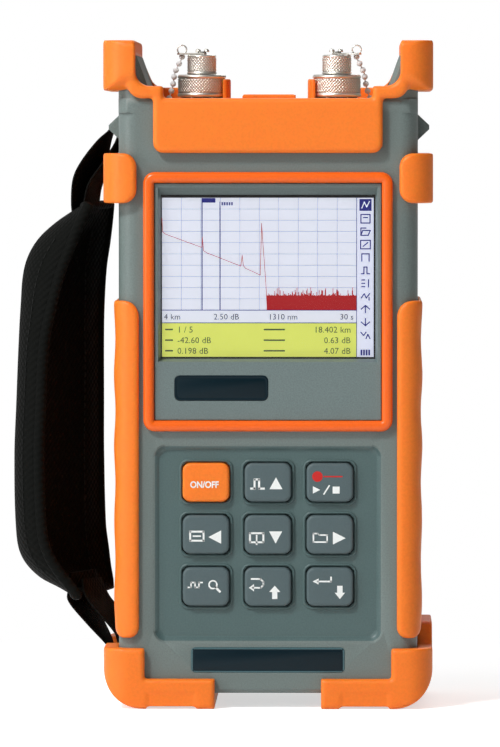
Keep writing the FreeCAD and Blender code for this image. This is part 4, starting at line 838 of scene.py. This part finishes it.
for name, side in (("left", -1), ("right", 1)):
    low, high, _ = box_mm("dust_cap_" + name)
    r, port_x = 4.95, port_reach * side
    rows = between(low.z + 1.0, high.z - 1.0, 0.2)
    profile = ([(0, high.z), (1.0, high.z), (r - 0.6, high.z), (r - 0.15, high.z - 0.35),
                (r - 0.15, high.z - 0.7), (r - 0.35, high.z - 0.9)] +
               [(r - 0.4, z) for z in reversed(rows)] +
               [(r - 0.35, low.z + 0.85), (r - 0.02, low.z + 0.65), (r - 0.02, low.z + 0.2),
                (r - 0.25, low.z), (bore, low.z), (bore, high.z - 1.9), (0, high.z - 1.9)])
    mesh = grown("dust_cap", lathed("cap_blank", profile, port_x, 200), knurl, nickel,
                 Axis_X=port_x * mm, Radius=r * mm, Count=28.0, Depth=0.0004,
                 Low=(low.z + 0.95) * mm, High=(high.z - 0.95) * mm)
    fitted("dust_cap_turned_" + name, mesh, "dust_cap_" + name, "nickel", "dust_cap_" + name)

    # swivel strip with its rivet knobs and the ring through its eye
    low, high, _ = box_mm("cap_swivel_" + name)
    dome = [(0, 0.95), (0.45, 0.85), (0.8, 0.5), (0.9, 0.1), (0.9, -0.2), (0, -0.2)]
    pieces = [closed_copy("cap_swivel_" + name, nickel)]
    for knob_x in (20.9, 23.7):
        pieces.append(lathed("knob", [(a, high.z + b) for a, b in dome], knob_x * side, 20))
    eye_x = 29.1 * side
    pieces.append(hoop_mesh(Vector((eye_x, 0, high.z + 0.6)), 1.5, 0.24))
    pieces.append(hoop_mesh(Vector((eye_x, 0, high.z - 1.6)), 1.0, 0.2, across=Vector((1, 0, 0))))
    fitted("cap_swivel_fitting_" + name, joined_mesh("cap_swivel_fitting", pieces),
           "cap_swivel_" + name, "nickel", "cap_swivel_" + name)

    # bead chain: it leaves the eye, hangs outwards and ends at a rivet in the deck
    way = ((29.1, 0, 215.0), (29.4, 0.2, 214.0), (30.6, 0.8, 211.8), (31.7, 1.8, 209.4),
           (32.0, 3.0, 206.8), (32.6, 4.0, 204.2), (33.5, 4.4, 201.2))
    chain_line = drawn("chain_line", [Vector((x * side, y, z)) * mm for x, y, z in way],
                       [(i, i + 1) for i in range(len(way) - 1)], [])
    mesh = grown("bead_chain", chain_line, beads, nickel, Beads=7, Bead_radius=0.001,
                 Wire_radius=0.00022)
    rivet_profile = [(0, 201.3), (0.8, 201.2), (1.1, 200.8), (1.1, 200.1), (0, 200.1)]
    rivet = lathed("rivet", rivet_profile, 0, 16)
    for v in rivet.vertices:
        v.co += Vector((33.5 * side, 4.4, 0)) * mm
    chain = placed("cap_chain_beads_" + name, joined_mesh("cap_chain_beads", [mesh, rivet]))
    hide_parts("cap_chain_" + name)
    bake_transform(chain)


# ---------------- back and screws
# Pan-head screws with cross recesses in the back, then the finish of the pieces that keep their
# CAD shape: steel pins and nuts, the two sockets under the flap, and the parts in black plastic.
steel = metal("zinc_steel", chip(190, 192, 194), 0.36)


def crossed(name, node, body, reach_in=1.3, arm=0.55, span=2.8):
    """The screws of one CAD node, each with a cross recess cut into its head."""
    blank = placed(name, closed_copy(node, steel))
    seen_at = {}
    for v in blank.data.vertices:
        corner = (v.co.x > 0, v.co.z > 0.1)
        seen_at.setdefault(corner, []).append(v.co.copy())
    cutters = bmesh.new()
    for spots in seen_at.values():
        top = max(p.y for p in spots)
        head = [p for p in spots if p.y > top - 0.0005]
        mid_x = (min(p.x for p in head) + max(p.x for p in head)) / 2
        mid_z = (min(p.z for p in head) + max(p.z for p in head)) / 2
        for wide, tall in ((span, arm), (arm, span)):
            bmesh.ops.create_cube(cutters, size=1.0, matrix=Matrix.Translation((mid_x, top, mid_z))
                                  @ Matrix.Diagonal((wide * mm, 2 * reach_in * mm, tall * mm, 1)))
    mesh = bpy.data.meshes.new("cross_cutters")
    cutters.to_mesh(mesh)
    cutters.free()
    mesh.materials.append(steel)
    cutter = placed("cross_cutters", mesh)
    cut = blank.modifiers.new("cross", "BOOLEAN")
    cut.object, cut.operation, cut.solver, cut.use_self = cutter, "DIFFERENCE", "EXACT", True
    mesh = plain_mesh(blank, name)
    bpy.data.objects.remove(cutter)
    mesh.set_sharp_from_angle(angle=math.radians(28))
    return fitted(name, mesh, body, "steel", node)


crossed("case_screws_crossed", "case_screws", "instrument")
crossed("door_screws_crossed", "door_screws", "battery_door", reach_in=0.9)
for part in ("stand_pin", "back_nuts", "lcd_bracket", "board_spacers"):
    finish_node(part, steel)
finish_node("usb_socket", metal("socket_shell", chip(206, 208, 210), 0.3))
for part, finish, colour, roughness, grain in (
        ("power_jack", "socket_plastic", (22, 23, 25), 0.4, 0.4),
        ("buzzer", "buzzer_plastic", (16, 17, 19), 0.5, 0.4),
        ("case_gasket", "gasket_rubber", (24, 25, 26), 0.6, 0.5),
        ("keypad_mat", "mat_silicone", (40, 44, 46), 0.6, 0.5)):
    finish_node(part, moulded(finish, chip(*colour), roughness, grain=grain))


# ---------------- inside
# Circuit boards with faint copper runs under green lacquer, tinned shields, gold contacts, the
# shrink-wrapped battery pack and the yellow fibre.
lacquer = moulded("board_lacquer", chip(18, 84, 58), 0.3, grain=0.3, depth=0.01)
add = adder(lacquer.node_tree)
swing = add("Mapping", {"Vector": add("TexCoord").outputs["Object"],
                        "Rotation": (math.radians(90), 0, 0)})
runs = add("TexBrick", {"Vector": swing, "Scale": 420.0, "Mortar Size": 0.09,
                        "Color1": chip(18, 84, 58), "Color2": chip(15, 76, 54),
                        "Mortar": chip(40, 122, 80)})
add("Principled BSDF", {"Base Color": runs})
for board in ("keypad_board", "key_switches", "main_board", "io_board"):
    finish_node(board, lacquer)
shield = metal("shield_tin", chip(186, 188, 188), 0.42, grain=0.5, depth=0.02)
finish_node("measuring_module", shield)
finish_node("fault_laser", shield)
finish_node("battery_contacts", metal("gold_contact", chip(236, 196, 96), 0.3))
finish_node("fibre_pigtail", moulded("fibre_jacket", chip(238, 204, 40), 0.4, grain=0.4))
finish_node("battery_pack", moulded("pack_wrap", chip(34, 70, 128), 0.25, grain=1.2, depth=0.06))


# ---------------- hand strap
# A padded hand strap in black woven nylon: a stuffed pad with a bound rim and a line of stitches,
# and a webbing loop at each end that goes round the bar of its lug.
nylon, add = new_material("woven_nylon")
place = add("TexCoord").outputs
axes = add("SeparateXYZ", (place["UV"],)).outputs
warp, weft = (add("Math", (add("Math", (axis, 2600.0), operation="MULTIPLY"),), operation="SINE")
              for axis in (axes[0], axes[1]))
weave = add("Bump", {"Strength": 0.7, "Distance": 0.25 * mm,
                     "Height": add("Math", (warp, weft), operation="MULTIPLY")})
dust = add("TexNoise", {"Vector": place["Object"], "Scale": 70.0})
tint = add("Mix", {0: dust, 6: chip(1, 3, 1), 7: chip(6, 7, 5)}, data_type="RGBA")
add("Principled BSDF", {"Base Color": tint.outputs[2], "Roughness": 0.78, "Normal": weave,
                        "Specular IOR Level": 0.12})

# heights, then the front rim, the outermost line and the rear rim across, and the thickness
pad_rows = ((36.3, -63.2, -65.0, -54.6, 2.6), (39.4, -65.6, -69.6, -55.0, 3.2),
            (42.7, -68.3, -76.0, -55.6, 4.2), (49.3, -72.6, -81.6, -56.4, 5.6),
            (57.5, -75.0, -83.0, -57.4, 6.0), (82.0, -76.0, -83.4, -58.0, 6.0),
            (99.5, -75.4, -82.8, -58.0, 6.0), (119.2, -74.3, -82.2, -58.0, 6.0),
            (131.4, -72.0, -82.0, -57.8, 6.0), (144.5, -68.5, -81.2, -57.0, 5.6),
            (152.7, -65.2, -77.4, -55.8, 4.8), (159.3, -62.6, -70.4, -55.0, 3.6),
            (165.4, -59.6, -62.0, -54.4, 2.6))


def eased(rows, at):
    """A smooth value between rows of (place, values...)."""
    for i in range(len(rows) - 1):
        if at <= rows[i + 1][0] or i == len(rows) - 2:
            break
    a, b, c, d = rows[max(i - 1, 0)], rows[i], rows[i + 1], rows[min(i + 2, len(rows) - 1)]
    t = min(max((at - b[0]) / (c[0] - b[0]), 0), 1)
    values = []
    for k in range(1, len(b)):
        m0 = (c[k] - a[k]) / (c[0] - a[0]) * (c[0] - b[0])
        m1 = (d[k] - b[k]) / (d[0] - b[0]) * (c[0] - b[0])
        values.append((2 * t ** 3 - 3 * t ** 2 + 1) * b[k] + (t ** 3 - 2 * t ** 2 + t) * m0 +
                      (3 * t ** 2 - 2 * t ** 3) * c[k] + (t ** 3 - t ** 2) * m1)
    return values


def pad_spot(t, z):
    """Middle of the pad's thickness; t runs from its front rim to its rear rim."""
    front, outer, rear, thick = eased(pad_rows, z)
    front_y, mid_y, rear_y = -20.6, 1.0, 25.6
    middle = outer + thick / 2
    w0, w1, w2 = (t - 0.5) * (t - 1) / 0.5, t * (t - 1) / -0.25, t * (t - 0.5) / 0.5
    return Vector((w0 * front + w1 * middle + w2 * rear,
                   w0 * front_y + w1 * mid_y + w2 * rear_y, z))


tall, wide = 64, 24
heights = [pad_rows[0][0] + (pad_rows[-1][0] - pad_rows[0][0]) * i / tall for i in range(tall + 1)]
grid = [[pad_spot(j / wide, z) for j in range(wide + 1)] for z in heights]
points, spots = [], {}
for i in range(tall + 1):
    for j in range(wide + 1):
        up_way = grid[min(i + 1, tall)][j] - grid[max(i - 1, 0)][j]
        side_way = grid[i][min(j + 1, wide)] - grid[i][max(j - 1, 0)]
        normal = side_way.cross(up_way).normalized()
        away_from_rim = min(min(j, wide - j) * 2.4, min(i, tall - i) * 2.0)
        full = eased(pad_rows, heights[i])[3]
        half = 0.9 + (full / 2 - 0.9) * min(1.0, away_from_rim / 6) ** 0.6
        for k in (0, 1):
            spots[i, j, k] = len(points)
            points.append(grid[i][j] * mm + normal * half * mm * (1 if k else -1))
faces = []
for i in range(tall):
    for j in range(wide):
        for k in (0, 1):
            square = [spots[i, j, k], spots[i, j + 1, k], spots[i + 1, j + 1, k],
                      spots[i + 1, j, k]]
            faces.append(square if k else square[::-1])
border = ([(0, j) for j in range(wide)] + [(i, wide) for i in range(tall)] +
          [(tall, j) for j in range(wide, 0, -1)] + [(i, 0) for i in range(tall, 0, -1)])
for (i, j), (m, n) in zip(border, border[1:] + border[:1]):
    faces.append([spots[i, j, 1], spots[i, j, 0], spots[m, n, 0], spots[m, n, 1]])
shape = bmesh.new()
verts = [shape.verts.new(p) for p in points]
for face in faces:
    shape.faces.new([verts[i] for i in face])
bmesh.ops.recalc_face_normals(shape, faces=shape.faces)
mesh = bpy.data.meshes.new("strap_pad")
shape.to_mesh(mesh)
shape.free()
mesh.materials.append(nylon)
pad = placed("strap_pad_stuffed", mesh)
seam = pad.vertex_groups.new(name="seam")
seam.add([spots[i, j, k] for i, j in border for k in (0, 1)], 1.0, "REPLACE")
rest = [v.co.copy() for v in mesh.vertices]
stuffing = pad.modifiers.new("stuffing", "CLOTH")
for setting, value in (("quality", 6), ("tension_stiffness", 40), ("compression_stiffness", 40),
                       ("bending_stiffness", 2.0), ("use_pressure", True),
                       ("uniform_pressure_force", 4.0), ("vertex_group_mass", "seam")):
    setattr(stuffing.settings, setting, value)
stuffing.settings.effector_weights.gravity = 0.0
stuffing.point_cache.frame_start, stuffing.point_cache.frame_end = 1, 20
for moment in range(1, 21):
    scene.frame_set(moment)
filled = pad.evaluated_get(bpy.context.evaluated_depsgraph_get()).to_mesh()
settled = [v.co.copy() for v in filled.vertices]
pad.modifiers.remove(stuffing)
most = 1.2 * mm             # the filling lifts the cloth by no more than this
for v, before, after in zip(mesh.vertices, rest, settled):
    step = after - before
    v.co = before + step * min(1.0, most / max(step.length, 1e-9))
scene.frame_set(1)
finer = pad.modifiers.new("finer", "SUBSURF")
finer.levels = finer.render_levels = 1
mesh = plain_mesh(pad, "strap_pad_stuffed")
for polygon in mesh.polygons:
    polygon.use_smooth = True


def unwrapped(mesh, rule):
    """Gives the mesh a UV layer by a rule from a vertex's number and place."""
    uv = mesh.uv_layers.new(name="UVMap")
    for loop in mesh.loops:
        uv.data[loop.index].uv = rule(loop.vertex_index, mesh.vertices[loop.vertex_index].co)
    return mesh


unwrapped(mesh, lambda i, p: (math.atan2(p.y - 0.001, -(p.x + 0.048)) * 0.031, p.z))
stuffed = fitted("strap_pad_stuffed", mesh, "instrument", "strap_black", "strap_pad")

# binding: a folded tape round the pad's rim, then stitches a little way in from it
rim_way = [grid[i][j] for i, j in border]
loops = []
for i, spot in enumerate(rim_way):
    ahead = (rim_way[(i + 1) % len(rim_way)] - rim_way[i - 1]).normalized()
    inward = ahead.cross(Vector((-1, 0, 0.0)))
    inward = inward.normalized() if inward.length > 1e-6 else Vector((0, 1, 0))
    lift = ahead.cross(inward).normalized()
    loops.append(tube_ring(spot, inward * 1.5, lift * 1.75, 12))
binding = unwrapped(skinned("strap_binding", loops, nylon, closed=True), lambda i, p: (p.y, p.z))
fitted("strap_binding", binding, "instrument", "strap_black")

stitching, add, given, ended = new_tree("stitches", (("Thread radius", 0.0002),))
line = add("GeometryNodeMeshToCurve", (given["Geometry"],))
hoop = add("GeometryNodeCurvePrimitiveCircle", {"Resolution": 6, "Radius": given["Thread radius"]})
ended(add("GeometryNodeCurveToMesh", {"Curve": line, "Profile Curve": hoop, "Fill Caps": True}))
thread_black = moulded("thread_black", chip(26, 27, 26), 0.7, grain=0.3, depth=0.02, gloss=0.15)
cover = BVHTree.FromPolygons([v.co for v in stuffed.data.vertices],
                             [tuple(p.vertices) for p in stuffed.data.polygons])
ends, dashes = [], []
stitch, pitch, proud = 1.7, 2.6, 0.1
for t in (0.12, 0.88):
    z = pad_rows[1][0] + 3.0
    while z < pad_rows[-2][0] - 3.0:
        here, there = pad_spot(t, z), pad_spot(t, z + stitch)
        for side in (-1, 1):
            outwards = Vector((1, 0.9 * (0.5 - t) / 0.38, 0)).normalized() * side * 6
            dashes.append((len(ends), len(ends) + 1))
            for spot in (here, there):
                skin_at, skin_way, _, _ = cover.find_nearest((spot + outwards) * mm)
                ends.append(skin_at + skin_way * proud * mm)
        z += pitch
stitches = grown("strap_stitches", drawn("dash_lines", ends, dashes, []), stitching, thread_black,
                 Thread_radius=0.00022)
fitted("strap_stitches", stitches, "instrument", "strap_black")


def ribbon(name, way, thick=1.1, steps=8, across=8):
    """A webbing band through rows of x and z at its front edge, then at its rear edge."""
    keys = [(i, *row) for i, row in enumerate(way)]
    count = (len(way) - 1) * steps
    front_y, wide = -6.9, 19.8
    rows = []
    for i in range(count + 1):
        fx, fz, rx, rz = eased(keys, i / steps)
        rows.append([Vector((fx + (rx - fx) * j / across, front_y + wide * j / across,
                             fz + (rz - fz) * j / across)) for j in range(across + 1)])
    loops, marks, run = [], [], 0.0
    for i, line in enumerate(rows):
        ahead_row, back_row = rows[min(i + 1, count)], rows[max(i - 1, 0)]
        upper, lower = [], []
        for j, spot in enumerate(line):
            along = ahead_row[j] - back_row[j]
            side_way = line[min(j + 1, across)] - line[max(j - 1, 0)]
            normal = along.cross(side_way).normalized() * thick / 2
            if j in (0, across):
                normal *= 0.45
            upper.append((spot + normal) * mm)
            lower.append((spot - normal) * mm)
        run += (line[0] - rows[max(i - 1, 0)][0]).length
        marks.append(run * mm)
        loops.append(upper + lower[::-1])
    ring_size = 2 * (across + 1)
    return unwrapped(skinned(name, loops, nylon),
                     lambda i, p: (p.y, marks[min(i // ring_size, count)]))


upper_way = ((-65.0, 160.5, -58.2, 161.5), (-65.7, 166.0, -57.4, 166.5),
             (-65.2, 174.0, -56.7, 171.0), (-62.6, 179.8, -55.0, 176.6),
             (-57.4, 186.6, -54.1, 183.0), (-53.4, 190.2, -53.0, 188.6),
             (-51.9, 191.9, -51.9, 191.7), (-50.3, 191.5, -50.3, 191.5),
             (-49.95, 189.6, -49.95, 189.6), (-51.4, 185.8, -50.2, 185.2),
             (-55.6, 179.4, -53.2, 179.4), (-60.4, 172.0, -57.4, 172.0),
             (-62.2, 162.0, -57.8, 163.0))
lower_way = ((-66.2, 43.0, -58.4, 43.0), (-67.0, 37.0, -57.8, 37.0), (-66.6, 33.2, -57.8, 31.6),
             (-60.6, 26.0, -56.8, 27.4), (-53.9, 18.8, -53.6, 20.4), (-52.4, 15.6, -52.4, 15.8),
             (-50.6, 15.5, -50.6, 15.5), (-49.95, 17.4, -49.95, 17.4), (-51.2, 22.6, -49.95, 22.6),
             (-55.6, 28.2, -50.3, 28.6), (-61.0, 35.0, -54.2, 34.0), (-62.4, 41.0, -57.0, 40.0))
fitted("strap_webbing_woven", joined_mesh("strap_webbing_woven", [
    ribbon("upper_webbing", upper_way), ribbon("lower_webbing", lower_way)]),
    "instrument", "strap_black", "strap_webbing")
